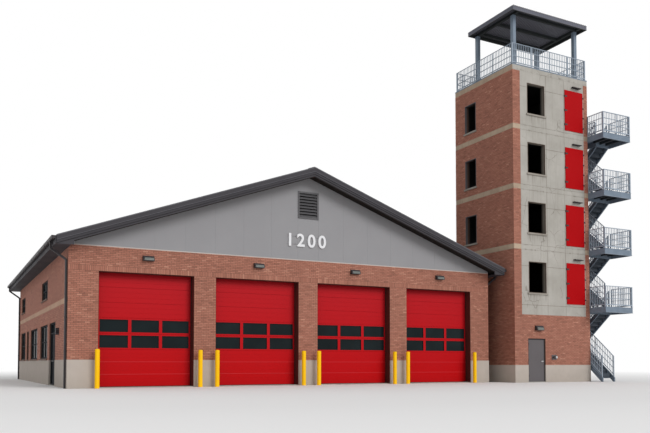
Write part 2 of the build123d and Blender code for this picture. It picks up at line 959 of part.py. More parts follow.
# Tower door at ground level
tower_frame_out = tower_front + frame_recess
tower_frame_in = tower_frame_out + door_frame_depth
tower_leaf_high = tower_door_head - frame_width - door_gap
tower_pin_x = tower_door_left + frame_width + door_gap
tower_leaf_width = tower_door_width - 2 * frame_width - 2 * door_gap
with BuildPart() as tower_door_frame:
    block(
        (tower_door_left, tower_frame_out, floor_top),
        (tower_door_right, tower_frame_in, tower_door_head),
    )
    block(
        (tower_door_left + frame_width, tower_frame_out, floor_top),
        (tower_door_right - frame_width, tower_frame_in, tower_door_head - frame_width),
        Mode.SUBTRACT,
    )
    hinge_barrels((tower_pin_x - door_gap / 2, tower_frame_out - pin_out), (-1, 0), (0, 1))
save(tower_door_frame.part, "tower_door_frame")

with BuildPart() as tower_door:
    block(
        (tower_pin_x, tower_frame_out, leaf_low),
        (tower_pin_x + tower_leaf_width, tower_frame_out + door_thick, tower_leaf_high),
    )
    knob = (tower_pin_x + tower_leaf_width - handle_inset, tower_frame_out, handle_height)
    lever_handle(Plane(origin=knob, x_dir=(1, 0, 0), z_dir=(0, -1, 0)), -1)
save(tower_door.part, "tower_door")

# Door from the top storey onto the top landing
with BuildPart() as tower_top_door:
    block(
        (tower_right - frame_recess - door_thick, top_door_low, levels[-1]),
        (tower_right - frame_recess, top_door_high, levels[-1] + top_door_height),
    )
save(tower_top_door.part, "tower_top_door")

# Hose connection: a plate with two capped couplings
with BuildPart() as hose_connection:
    plate_left = tower_door_right + hose_x - hose_plate_width / 2
    plate_face = tower_front - hose_plate_thick
    block(
        (plate_left, plate_face, hose_plate_low),
        (plate_left + hose_plate_width, tower_front, hose_plate_high),
    )
    with BuildSketch(Plane.XZ.offset(-plate_face)):
        coupling_z = (hose_plate_low + hose_plate_high) / 2
        for side in (-1, 1):
            with Locations((tower_door_right + hose_x + side * coupling_spread, coupling_z)):
                Circle(coupling_radius)
    extrude(amount=coupling_reach)
save(hose_connection.part, "hose_connection")


# A flat railing: posts and level rails cut from one sheet outline
# start and end are its two ends along the plane, base the height it stands on
def railing(spot, start, end, base):
    length = end - start
    fields = max(1, round(length / rail_post_pitch))
    field = (length - rail_bar) / fields
    row = (rail_height - rail_bar - rail_low) / (rail_rows - 1)
    foot_gap = rail_low - rail_bar / 2
    with BuildSketch(spot) as sheet:
        with Locations((start + length / 2, base + rail_height / 2)):
            Rectangle(length, rail_height)
        for n in range(fields):
            middle = start + rail_bar / 2 + (n + 0.5) * field
            for m in range(rail_rows - 1):
                with Locations((middle, base + rail_low + (m + 0.5) * row + rail_bar / 2)):
                    Rectangle(field - rail_bar, row - rail_bar / 2, mode=Mode.SUBTRACT)
            with Locations((middle, base + foot_gap / 2)):
                Rectangle(field - rail_bar, foot_gap, mode=Mode.SUBTRACT)
    extrude(sheet.sketch, amount=rail_bar)


# The railing of the deck as plane, start and end of each of its four sides
deck_near = tower_front + rail_inset
deck_far = tower_rear - rail_inset
deck_left = tower_left + rail_inset
deck_right = tower_right - rail_inset
side_near = deck_near + rail_bar + rail_clear
side_far = deck_far - rail_bar - rail_clear
deck_sides = [
    (Plane(origin=(0, deck_near + rail_bar, 0), x_dir=(1, 0, 0), z_dir=(0, -1, 0)), deck_left, deck_right),
    (Plane(origin=(0, deck_far, 0), x_dir=(1, 0, 0), z_dir=(0, -1, 0)), deck_left, deck_right),
    (Plane.YZ.offset(deck_left), side_near, side_far),
    (Plane.YZ.offset(deck_right - rail_bar), side_near, side_far),
]


def post_places(start, end):
    fields = max(1, round((end - start) / rail_post_pitch))
    field = (end - start - rail_bar) / fields
    return [start + n * field for n in range(fields + 1)]


# Lower and upper edge of each level rail above the deck
def rail_edges():
    row = (rail_height - rail_bar - rail_low) / (rail_rows - 1)
    thin = rail_bar / 2
    edges = [(rail_low - thin, rail_low + thin)]
    for n in range(1, rail_rows - 1):
        edges.append((rail_low + n * row, rail_low + n * row + thin))
    edges.append((rail_height - thin, rail_height))
    return edges


with BuildPart() as deck_posts:
    for spot, start, end in deck_sides:
        with BuildSketch(spot):
            for place in post_places(start, end):
                with Locations((place + rail_bar / 2, deck_top + rail_height / 2)):
                    Rectangle(rail_bar, rail_height)
        extrude(amount=rail_bar)
save(deck_posts.part, "deck_posts")

with BuildPart() as deck_railing:
    for spot, start, end in deck_sides:
        places = post_places(start, end)
        with BuildSketch(spot):
            for left, right in zip(places[:-1], places[1:]):
                for low, high in rail_edges():
                    with Locations(((left + rail_bar + right) / 2, deck_top + (low + high) / 2)):
                        Rectangle(right - left - rail_bar, high - low)
        extrude(amount=rail_bar)
save(deck_railing.part, "deck_railing")

# Canopy: posts, a grid of beams and a flat roof with a deep rim
post_xs = (tower_left + post_left, tower_left + post_right)
post_ys = (tower_front + post_front, tower_front + post_back)
canopy_under = canopy_top - canopy_edge
beam_low = canopy_under + beam_raise
with BuildPart() as canopy_posts:
    for x in post_xs:
        for y in post_ys:
            with Locations((x, y, (deck_top + beam_low) / 2)):
                Box(post_size, post_size, beam_low - deck_top)
    fillet(canopy_posts.edges().filter_by(Axis.Z), radius=post_round)
save(canopy_posts.part, "canopy_posts")

roof_low_x = tower_left - canopy_side
roof_high_x = tower_left + canopy_right
roof_low_y = tower_front - canopy_front
roof_high_y = tower_front + canopy_back
with BuildPart() as canopy_beams:
    for x in post_xs:
        block(
            (x - beam_width / 2, roof_low_y + canopy_rim, beam_low),
            (x + beam_width / 2, roof_high_y - canopy_rim, canopy_top - canopy_sheet),
        )
    for share in cross_beam_shares:
        y = roof_low_y + share * (roof_high_y - roof_low_y)
        block(
            (post_xs[0], y - beam_width / 2, beam_low),
            (post_xs[1], y + beam_width / 2, canopy_top - canopy_sheet),
        )
save(canopy_beams.part, "canopy_beams")

with BuildPart() as canopy_roof:
    block((roof_low_x, roof_low_y, canopy_under), (roof_high_x, roof_high_y, canopy_top))
    block(
        (roof_low_x + canopy_rim, roof_low_y + canopy_rim, canopy_under),
        (roof_high_x - canopy_rim, roof_high_y - canopy_rim, canopy_top - canopy_sheet),
        Mode.SUBTRACT,
    )
save(canopy_roof.part, "canopy_roof")

# Outside stair: landings at the floors, half landings behind, two lanes of flights
landing_low_y = tower_front - landing_front
landing_high_y = tower_front + landing_back
outer_x = tower_right + landing_width
inner_lane = tower_right + lane_gap
outer_lane = outer_x - lane_gap - lane
lane_split = (inner_lane + lane + outer_lane) / 2
top_step_y = top_door_high + top_landing_beyond


# A steel platform: a plate in a deep rim, from its outline on the ground
def platform(points, top):
    with BuildSketch(Plane.XY.offset(top - landing_depth)) as outline:
        with BuildLine():
            Polyline(*points, close=True)
        make_face()
    extrude(outline.sketch, amount=landing_depth)
    with BuildSketch(Plane.XY.offset(top - landing_depth)) as hollow:
        with BuildLine():
            Polyline(*points, close=True)
        make_face()
        offset(amount=-landing_rim, kind=Kind.INTERSECTION, mode=Mode.REPLACE)
    extrude(hollow.sketch, amount=landing_depth - landing_plate, mode=Mode.SUBTRACT)


with BuildPart() as stair_landings:
    for level in levels[:-1]:
        platform(
            [
                (tower_right, landing_low_y),
                (outer_x, landing_low_y),
                (outer_x, landing_high_y),
                (tower_right, landing_high_y),
            ],
            level,
        )
    platform(
        [
            (tower_right, landing_low_y),
            (outer_x, landing_low_y),
            (outer_x, landing_high_y),
            (lane_split, landing_high_y),
            (lane_split, top_step_y),
            (tower_right, top_step_y),
        ],
        levels[-1],
    )
save(stair_landings.part, "stair_landings")

# Each flight as direction, foot or head place, levels and lane
# back flights go down and away in the outer lane, fore flights come down in the inner lane
back_head_y = landing_high_y
back_foot_y = back_head_y + (half_risers - 1) * going
fore_foot_y = tower_front + arrive_y
fore_head_y = fore_foot_y + (half_risers - 1) * going
ground_foot_y = tower_front + foot_y
ground_head_y = ground_foot_y + (foot_risers - 1) * going
rest_back_y = back_foot_y + rest_length

flights = []
rests = []
for number, level in enumerate(levels):
    riser = ground_riser if number == 0 else upper_riser
    rest = level - half_risers * riser
    flights.append(("back", back_head_y, level, riser, half_risers))
    if number == 0:
        flights.append(("fore", ground_head_y, rest, riser, foot_risers))
        rests.append((rest, ground_head_y))
    else:
        flights.append(("fore", fore_head_y, rest, riser, half_risers))
        rests.append((rest, fore_head_y))

with BuildPart() as half_landings:
    for rest, near in rests:
        platform(
            [
                (tower_right, near),
                (lane_split, near),
                (lane_split, back_foot_y),
                (outer_x, back_foot_y),
                (outer_x, rest_back_y),
                (tower_right, rest_back_y),
            ],
            rest,
        )
save(half_landings.part, "half_landings")


# Outline of a stringer seen from the side, with its foot cut level on what it stands on
def stringer_outline(kind, head_y, head_z, riser, risers):
    turn = 1 if kind == "back" else -1
    run = (risers - 1) * going
    foot_z = head_z - risers * riser
    end_y = head_y + turn * run
    end_top = foot_z + riser
    end_low = end_top - stringer_drop
    points = [(head_y, head_z), (end_y, end_top)]
    if kind == "back":
        points += [(end_y, end_low), (head_y, head_z - stringer_drop)]
    else:
        rise_back = (foot_z - end_low) / (riser / going)
        points += [(end_y, foot_z), (end_y + rise_back, foot_z), (head_y, head_z - stringer_drop)]
    return points


# A channel stringer, its web towards the treads and its flanges away from them
def channel_stringer(outline, left, web_side):
    right = left + stringer_thick
    prism_x(outline, left, right)
    near, far = (left, right - stringer_web) if web_side > 0 else (left + stringer_web, right)
    with BuildSketch(Plane.YZ.offset(near)) as channel:
        with BuildLine():
            Polyline(*outline, close=True)
        make_face()
        offset(amount=-stringer_flange, kind=Kind.INTERSECTION, mode=Mode.REPLACE)
    extrude(channel.sketch, amount=far - near, mode=Mode.SUBTRACT)


def lane_edges(kind):
    left = outer_lane if kind == "back" else inner_lane
    return left, left + lane


with BuildPart() as stair_stringers:
    for kind, head_y, head_z, riser, risers in flights:
        outline = stringer_outline(kind, head_y, head_z, riser, risers)
        left, right = lane_edges(kind)
        channel_stringer(outline, left, 1)
        channel_stringer(outline, right - stringer_thick, -1)
save(stair_stringers.part, "stair_stringers")

with BuildPart() as stair_treads:
    for kind, head_y, head_z, riser, risers in flights:
        turn = 1 if kind == "back" else -1
        left, right = lane_edges(kind)
        for n in range(1, risers):
            ends = sorted((head_y + turn * (n - 1) * going, head_y + turn * n * going))
            block(
                (left + stringer_thick, ends[0] + tread_gap, head_z - n * riser - tread_thick),
                (right - stringer_thick, ends[1] - tread_gap, head_z - n * riser),
            )
save(stair_treads.part, "stair_treads")


# A sloping railing over a stringer: a sheet between its top and the handrail, cut into fields
def flight_railing(kind, head_y, head_z, riser, risers, left):
    turn = 1 if kind == "back" else -1
    run = (risers - 1) * going
    fall = (risers - 1) * riser

    def at(share, lift):
        return (head_y + turn * share * run, head_z - share * fall + lift)

    start, end = slope_rail_start, slope_rail_end
    prism_x([at(start, 0), at(end, 0), at(end, rail_height), at(start, rail_height)], left, left + rail_bar)
    fields = max(1, round(run / rail_post_pitch))
    post = rail_bar / run
    field = (end - start - post) / fields
    row = (rail_height - rail_bar - rail_low) / (rail_rows - 1)
    gaps = [(0, rail_low - rail_bar / 2)]
    for m in range(rail_rows - 1):
        gaps.append((rail_low + m * row + rail_bar / 2, rail_low + (m + 1) * row))
    for n in range(fields):
        one = start + post + n * field
        two = one + field - post
        for low, high in gaps:
            corners = [at(one, low), at(two, low), at(two, high), at(one, high)]
            prism_x(corners, left, left + rail_bar, Mode.SUBTRACT)


with BuildPart() as flight_railings:
    for kind, head_y, head_z, riser, risers in flights:
        left, right = lane_edges(kind)
        inset = (stringer_thick - rail_bar) / 2
        flight_railing(kind, head_y, head_z, riser, risers, right - stringer_thick + inset)
        if kind == "back" or risers == foot_risers:
            flight_railing(kind, head_y, head_z, riser, risers, left + inset)
save(flight_railings.part, "flight_railings")

# Railings round the landings, standing on their edges
with BuildPart() as landing_railings:
    for level in levels:
        railing(
            Plane(origin=(0, landing_low_y + rail_bar, 0), x_dir=(1, 0, 0), z_dir=(0, -1, 0)),
            tower_right,
            outer_x,
            level,
        )
        side_near = landing_low_y + rail_bar + rail_clear
        railing(Plane.YZ.offset(outer_x - rail_bar), side_near, landing_high_y, level)
        railing(Plane.YZ.offset(tower_right), side_near, tower_front - rail_clear, level)
    railing(
        Plane.YZ.offset(lane_split - rail_bar),
        landing_high_y + rail_clear,
        top_step_y - rail_bar - rail_clear,
        levels[-1],
    )
    railing(
        Plane(origin=(0, top_step_y, 0), x_dir=(1, 0, 0), z_dir=(0, -1, 0)),
        tower_right + rail_clear,
        lane_split,
        levels[-1],
    )
    for rest, near in rests:
        railing(
            Plane(origin=(0, rest_back_y, 0), x_dir=(1, 0, 0), z_dir=(0, -1, 0)),
            tower_right + rail_clear,
            outer_x,
            rest,
        )
        railing(
            Plane.YZ.offset(outer_x - rail_bar),
            back_foot_y + rail_clear,
            rest_back_y - rail_bar - rail_clear,
            rest,
        )
save(landing_railings.part, "landing_railings")

# Posts that carry the half landings
with BuildPart() as stair_posts:
    post_height = rests[-1][0]
    for x in (tower_right + tower_plinth_proud + stair_post, outer_x - stair_post / 2):
        with Locations((x, rest_back_y + stair_post / 2, post_height / 2)):
            Box(stair_post, stair_post, post_height)
save(stair_posts.part, "stair_posts")
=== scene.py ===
import math
from functools import partialmethod

import bpy
import numpy as np
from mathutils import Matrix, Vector


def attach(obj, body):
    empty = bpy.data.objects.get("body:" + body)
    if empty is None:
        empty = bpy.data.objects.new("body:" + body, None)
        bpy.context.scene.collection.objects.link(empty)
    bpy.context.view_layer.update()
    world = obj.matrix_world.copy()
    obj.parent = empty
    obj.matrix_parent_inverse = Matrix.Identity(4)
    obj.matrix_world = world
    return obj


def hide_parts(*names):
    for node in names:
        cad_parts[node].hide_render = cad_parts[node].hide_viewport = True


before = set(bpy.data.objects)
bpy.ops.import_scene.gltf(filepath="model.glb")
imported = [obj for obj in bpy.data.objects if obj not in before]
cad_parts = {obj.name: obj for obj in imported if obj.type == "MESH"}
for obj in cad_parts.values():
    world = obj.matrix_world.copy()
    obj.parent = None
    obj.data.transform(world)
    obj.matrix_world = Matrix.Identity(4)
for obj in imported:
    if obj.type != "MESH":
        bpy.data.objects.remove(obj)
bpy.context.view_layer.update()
print("frame loaded:", len(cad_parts), "nodes")

# Fire station, dressed in metres in the model's own frame: +Z up, the street on the -Y side
hall = {
    "half": 9.755,
    "front": -9.25,
    "rear": 9.25,
    "plinthTop": 1.056,
    "plinthProud": 0.02,
    "brickTop": 5.3,
    "soffit": 5.18,
    "wall": 0.35,
    "bayLefts": [-8.67, -4.11, 0.45, 5.01],
    "bayWidth": 3.66,
    "bayHead": 4.36,
    # sill, head, then where each window starts behind the front wall and its width
    "windowRows": [
        (1.13, 2.6, [(5.7, 2.5), (9.5, 2.9), (13.4, 0.9), (15.1, 2.3)]),
        (3.75, 4.55, [(5.8, 2.1), (15.4, 1.9)]),
    ],
    "sillThick": 0.074,
    "rearWindow": 2.5,
    "rearHead": 2.6,
    "sideDoor": (-6.05, -4.25),
    "sideDoorHead": 2.6,
    "course": (3.17, 3.37),
    "courseProud": 0.015,
}
roof = {
    "slope": math.tan(math.radians(19.7)),
    "eave": 10.255,
    "eaveUnder": 5.2,
    "depth": 0.3,
    "near": -9.85,
    "far": 9.85,
    "trim": 0.07,
}
roof["apexUnder"] = roof["eaveUnder"] + roof["eave"] * roof["slope"]
roof["apexTop"] = roof["apexUnder"] + roof["depth"]
tower = {
    "left": 10.545,
    "right": 15.525,
    "front": -10.265,
    "rear": -5.795,
    # how far in from the outer faces the smoke-blackening and painted shade begin and are full
    "sootShadeDepths": (0.14, 0.3),
    "plinthTop": 0.843,
    "plinthProud": 0.015,
    "levels": [3.76, 6.7, 9.64, 12.58],
    "deck": 15.52,
    "slab": 0.24,
    "deckSlab": 0.3,
    "panel": (11.0, 15.255),
    "panelLow": 3.29,
    "door": (11.37, 12.48),
    "doorHead": 2.13,
    "window": (11.45, 12.6),
    "windowSill": 0.595,
    "windowHigh": 1.53,
    "sideWindow": (-7.49, -6.59),
    "rearWindow": (12.585, 13.485),
    "sideSill": 0.42,
    "sideHigh": 1.48,
    "sillThick": 0.08,
    "shutter": (13.945, 15.185),
    "shutterLow": 0.12,
    "shutterHigh": 2.07,
    "shutterLap": 0.05,
    "topDoor": (-9.715, -8.815),
    "topDoorHigh": 2.1,
}
levels = tower["levels"]
stair = {
    "outer": 17.455,
    "split": 16.49,
    "innerLane": 15.57,
    "outerLane": 16.52,
    "lane": 0.89,
    "landingNear": -11.3,
    "landingFar": -9.95,
    "rests": [2.298, 5.23, 8.17, 11.11],
    "restNear": -8.51,
    "restFar": -7.51,
    "topStep": -8.765,
    "groundHead": -8.6,
    "backHead": -9.06,
    "risers": (0.20889, 0.21),
    "riserCounts": (11, 7),
    "railEdge": 0.03,
    "going": 0.24,
    "stringer": 0.06,
    "depth": 0.29,
}


# A shader socket that takes part in sums, so that finishes read as arithmetic
class Sock:
    def __init__(self, nodes, link):
        self.nodes, self.link = nodes, link

    def join(self, operation, other, swap=False):
        # this socket and another one or a number in a sum
        pair = (other, self) if swap else (self, other)
        return self.nodes.node("ShaderNodeMath", {"operation": operation}, pair)

    __add__ = partialmethod(join, "ADD")
    __radd__ = partialmethod(join, "ADD", swap=True)
    __sub__ = partialmethod(join, "SUBTRACT")
    __rsub__ = partialmethod(join, "SUBTRACT", swap=True)
    __mul__ = partialmethod(join, "MULTIPLY")
    __rmul__ = partialmethod(join, "MULTIPLY", swap=True)
    __gt__ = partialmethod(join, "GREATER_THAN")
    __lt__ = partialmethod(join, "LESS_THAN")


def rgb(red, green, blue):
    # screen colour 0-255 to linear, as shader sockets want it
    parts = np.array([red, green, blue]) / 255
    linear = np.where(parts <= 0.04045, parts / 12.92, ((parts + 0.055) / 1.055) ** 2.4)
    return (*[float(part) for part in linear], 1.0)


# The node tree of a material or world
class Nodes:
    def __init__(self, owner):
        owner.use_nodes = True
        self.tree = owner.node_tree

    def node(self, kind, settings=None, values=(), out=0):
        # a new node with its settings, its inputs set or linked, given back as one of its outputs
        made = self.tree.nodes.new(kind)
        for key, value in (settings or {}).items():
            if key != "stops":
                setattr(made, key, value)
                continue
            elements = made.color_ramp.elements
            while len(elements) < len(value):
                elements.new(0.5)
            for element, (place, colour) in zip(elements, value):
                element.position = place
                element.color = rgb(*colour)
        for key, value in values.items() if isinstance(values, dict) else enumerate(values):
            if isinstance(value, Sock):
                self.tree.links.new(value.link, made.inputs[key])
            else:
                made.inputs[key].default_value = value
        return Sock(self, made.outputs[out])

    def show(self, surface):
        # what the material or world shows
        ending = next(node for node in self.tree.nodes if node.type.startswith("OUTPUT"))
        self.tree.links.new(surface.link, ending.inputs["Surface"])


# A material with one principled shader
class Finish(Nodes):
    def __init__(self, name):
        self.material = bpy.data.materials.new(name)
        super().__init__(self.material)
        self.shader = self.tree.nodes["Principled BSDF"]

    def place(self):
        # the place on the piece, in metres from the scene's origin
        return self.node("ShaderNodeTexCoord", out=3)

    def axes(self):
        return [self.node("ShaderNodeSeparateXYZ", {}, [self.place()], out=n) for n in range(3)]

    def tone(self):
        # the tone that each brick, block or shingle keeps in its corners
        return self.node("ShaderNodeAttribute", {"attribute_name": "tone"}, out=2)

    def stretched(self, scale):
        return self.node("ShaderNodeMapping", {}, {"Vector": self.place(), "Scale": scale})

    def noise(self, scale, detail=3.0, rough=0.5, vector=None, out=0):
        values = {"Vector": vector or self.place(), "Scale": scale, "Detail": detail, "Roughness": rough}
        return self.node("ShaderNodeTexNoise", {}, values, out)

    def rise(self, value, low, high):
        # 0 below low, 1 above high, straight between
        return self.node("ShaderNodeMapRange", {}, {"Value": value, "From Min": low, "From Max": high})

    def patches(self, low, high, *noise):
        # a noise cut to 0 below low and 1 above high
        return self.rise(self.noise(*noise), low, high)

    def mix(self, factor, one, two):
        # screen colours or sockets, the second as strong as the factor
        one, two = (rgb(*side) if isinstance(side, tuple) else side for side in (one, two))
        return self.node("ShaderNodeMix", {"data_type": "RGBA"}, {0: factor, 6: one, 7: two}, out=2)

    def feed(self, name, value):
        if isinstance(value, Sock):
            self.tree.links.new(value.link, self.shader.inputs[name])
        else:
            self.shader.inputs[name].default_value = value

    def coat(self, colour, rough, shine=0.5, grit=None):
        # grit is a noise's scale, detail and roughness, then the strength and depth of its bump
        self.feed("Base Color", colour)
        self.feed("Roughness", rough)
        self.feed("Specular IOR Level", shine)
        if grit:
            *noise, strength, depth = grit
            values = {"Height": self.noise(*noise), "Strength": strength, "Distance": depth}
            self.feed("Normal", self.node("ShaderNodeBump", {}, values))
        return self.material


def sootAndShade(finish, body):
    # blackened below the deck where all four outer faces are some way off: smoke-blackening that training
    # fires leave in the rooms, together with painted shade inside the rooms and deep in the openings' reveals
    x, y, z = finish.axes()
    mask = z < tower["deck"] - tower["deckSlab"] / 2
    for depth in (x - tower["left"], tower["right"] - x, y - tower["front"], tower["rear"] - y):
        mask = mask * finish.rise(depth, *tower["sootShadeDepths"])
    # near-black of smoke and painted shade together
    return finish.mix(mask, body, (20, 18, 17))


def brickFinish(name):
    # each brick's own tone of red under a sanded grain, with darker weathering in wide patches
    finish = Finish(name)
    tones = [
        (0.0, (140, 86, 69)),
        (0.14, (157, 98, 79)),
        (0.58, (166, 105, 86)),
        (0.94, (175, 115, 95)),
        (1.0, (190, 133, 111)),
    ]
    grain = finish.patches(0.35, 0.72, 38, 4, 0.65)
    body = finish.node("ShaderNodeValToRGB", {"stops": tones}, [finish.tone()])
    body = finish.mix(grain * 0.3, body, (196, 146, 124))
    body = finish.mix(finish.patches(0.35, 0.7, 0.45, 3) * 0.22, body, (118, 76, 62))
    return finish.coat(body, 0.86 - grain * 0.08, grit=(120, 4, 0.7, 0.35, 0.002))


def mortarFinish(name):
    # joint mortar, mottled between two tones
    finish = Finish(name)
    body = finish.mix(finish.patches(0.3, 0.7, 60, 4, 0.6) * 0.5, (104, 76, 63), (88, 68, 58))
    return finish.coat(sootAndShade(finish, body), 0.95, grit=(60, 4, 0.6, 0.3, 0.002))


def blockFinish(name):
    # pale blocks, clouded, with splashed dirt near the ground
    finish = Finish(name)
    z = finish.axes()[2]
    body = finish.mix(finish.tone() * 0.3, (184, 174, 165), (176, 166, 157))
    body = finish.mix(finish.patches(0.35, 0.75, 1.6, 5, 0.6) * 0.35, body, (164, 154, 145))
    splash = finish.rise(0.55 - z + finish.noise(3, 4) * 0.5, 0.15, 0.75)
    body = finish.mix(splash * 0.2, body, (128, 118, 104))
    return finish.coat(body, 0.9, grit=(90, 4, 0.7, 0.25, 0.002))


def concreteFinish(name, pale, shade):
    # cast concrete: clouds, streaks, pores and wandering cracks, then patchy darkening beside the slabs'
    # edges and drips below the sills, both placed by the height above each storey's floor
    finish = Finish(name)
    x, z = finish.axes()[::2]
    body = finish.mix(finish.patches(0.3, 0.72, 0.9, 6, 0.62), pale, shade)
    streak = finish.patches(0.52, 0.78, 3.2, 5, 0.6, finish.stretched((3.0, 3.0, 0.16)))
    body = finish.mix(streak * 0.4, body, (134, 128, 118))
    body = finish.mix(finish.patches(0.66, 0.72, 26) * 0.45, body, (110, 104, 94))
    wander = finish.noise(2.6, 4.0, out=1)
    bent = finish.node("ShaderNodeVectorMath", {"operation": "SCALE"}, {0: wander, "Scale": 0.3})
    spot = finish.node("ShaderNodeVectorMath", {"operation": "ADD"}, [finish.place(), bent])
    nearest = {"feature": "DISTANCE_TO_EDGE"}
    crack = finish.node("ShaderNodeTexVoronoi", nearest, {"Vector": spot, "Scale": 0.9})
    line = (1 - finish.rise(crack, 0.004, 0.013)) * finish.patches(0.5, 0.56, 0.8)
    body = finish.mix(line * 0.5, body, (100, 93, 84))
    storey, slab, sill = levels[1] - levels[0], tower["slab"], tower["windowSill"]
    climb = (z - levels[0]).join("MODULO", storey)
    beside = (climb - (storey - slab / 2)).join("ABSOLUTE", 0.0) - slab / 2
    ragged = 1 - finish.rise(beside.join("ABSOLUTE", 0.0), 0.012, 0.06)
    edgeDarkening = ragged * finish.patches(0.5, 0.62, 3.4, 6, 0.7)
    body = finish.mix(edgeDarkening * 0.55, body, (108, 101, 91))
    below = finish.rise(climb, 0.0, sill) * (climb < sill - tower["sillThick"])
    under = (x > tower["window"][0] - 0.05) * (x < tower["window"][1] + 0.05)
    run = finish.patches(0.46, 0.6, 7.0, 4, 0.6, finish.stretched((2.2, 2.2, 0.08)))
    body = finish.mix(below * under * run * 0.6, body, (112, 104, 94))
    return finish.coat(sootAndShade(finish, body), 0.88, grit=(45, 5, 0.6, 0.2, 0.003))


def bandFinish(name, pale, shade, run):
    # the bands, the pale course and the window ledges: soft clouds and upright streaks
    finish = Finish(name)
    body = finish.mix(finish.patches(0.3, 0.72, 1.4, 5, 0.6), pale, shade)
    streak = finish.patches(0.5, 0.75, 3.0, 4, 0.6, finish.stretched((3.0, 3.0, 0.2)))
    return finish.coat(finish.mix(streak * 0.4, body, run), 0.9, grit=(60, 4, 0.6, 0.2, 0.002))


orangePeel = (70, 2, 0.5, 0.05, 0.001)


def paintFinish(name, colour, shade, rough, shine=0.2, wear=0.25, metallic=0.0):
    # paint or coated metal: slow clouding of the colour and a fine orange peel
    finish = Finish(name)
    cloud = finish.patches(0.35, 0.7, 1.1, 4)
    finish.feed("Metallic", metallic)
    return finish.coat(finish.mix(cloud * wear, colour, shade), rough + cloud * 0.08, shine, orangePeel)


# How deep and how strong the shade on the bay doors is, beside the right jamb and under the lintel
doorShade = {"jamb": (0.3, 0.5), "lintel": (0.4, 0.4)}


def doorFinish(name, top, foot, dark):
    # red enamel, paler at the top than at the foot, painted darker beside the right jamb and under the
    # lintel, as if
    # shaded there: the place along a bay is x modulo the pitch of the bays
    finish = Finish(name)
    x, z = finish.axes()[::2]
    cloud = finish.patches(0.35, 0.7, 1.1, 4)
    lefts, wide, head = hall["bayLefts"], hall["bayWidth"], hall["bayHead"]
    fade = finish.rise(z + cloud * 0.5, 0.6, head)
    along = (x - lefts[0]).join("MODULO", lefts[1] - lefts[0])
    (jambDeep, jambMost), (lintelDeep, lintelMost) = doorShade["jamb"], doorShade["lintel"]
    shaded = finish.rise(along, wide - jambDeep, wide) * jambMost
    shaded = shaded.join("MAXIMUM", finish.rise(z, head - lintelDeep, head) * lintelMost)
    body = finish.mix(shaded, finish.mix(fade, foot, top), dark)
    return finish.coat(body, 0.42 + cloud * 0.06, 0.08, orangePeel)


def steelFinish(name, colour, shade):
    # galvanised steel under grey-blue paint
    finish = Finish(name)
    flakes = finish.node("ShaderNodeTexVoronoi", {}, {"Vector": finish.place(), "Scale": 34.0})
    cloud = finish.patches(0.35, 0.7, 2.4, 4)
    return finish.coat(finish.mix(cloud * 0.5 + flakes * 0.15, colour, shade), 0.5 + cloud * 0.15, 0.3)


def shingleFinish(name):
    # each tab's own grey under mineral grit
    finish = Finish(name)
    body = finish.mix(finish.tone(), (52, 52, 54), (88, 86, 86))
    body = finish.mix(finish.patches(0.4, 0.68, 160, 3, 0.7) * 0.45, body, (112, 110, 108))
    return finish.coat(body, 0.92, grit=(220, 3, 0.7, 0.5, 0.002))


def glassFinish(name, colour, shade, shine):
    # tinted glass, opaque, its dark colour a painted shade of the room behind it
    finish = Finish(name)
    return finish.coat(finish.mix(finish.patches(0.3, 0.7, 0.8, 2), colour, shade), 0.12, shine)


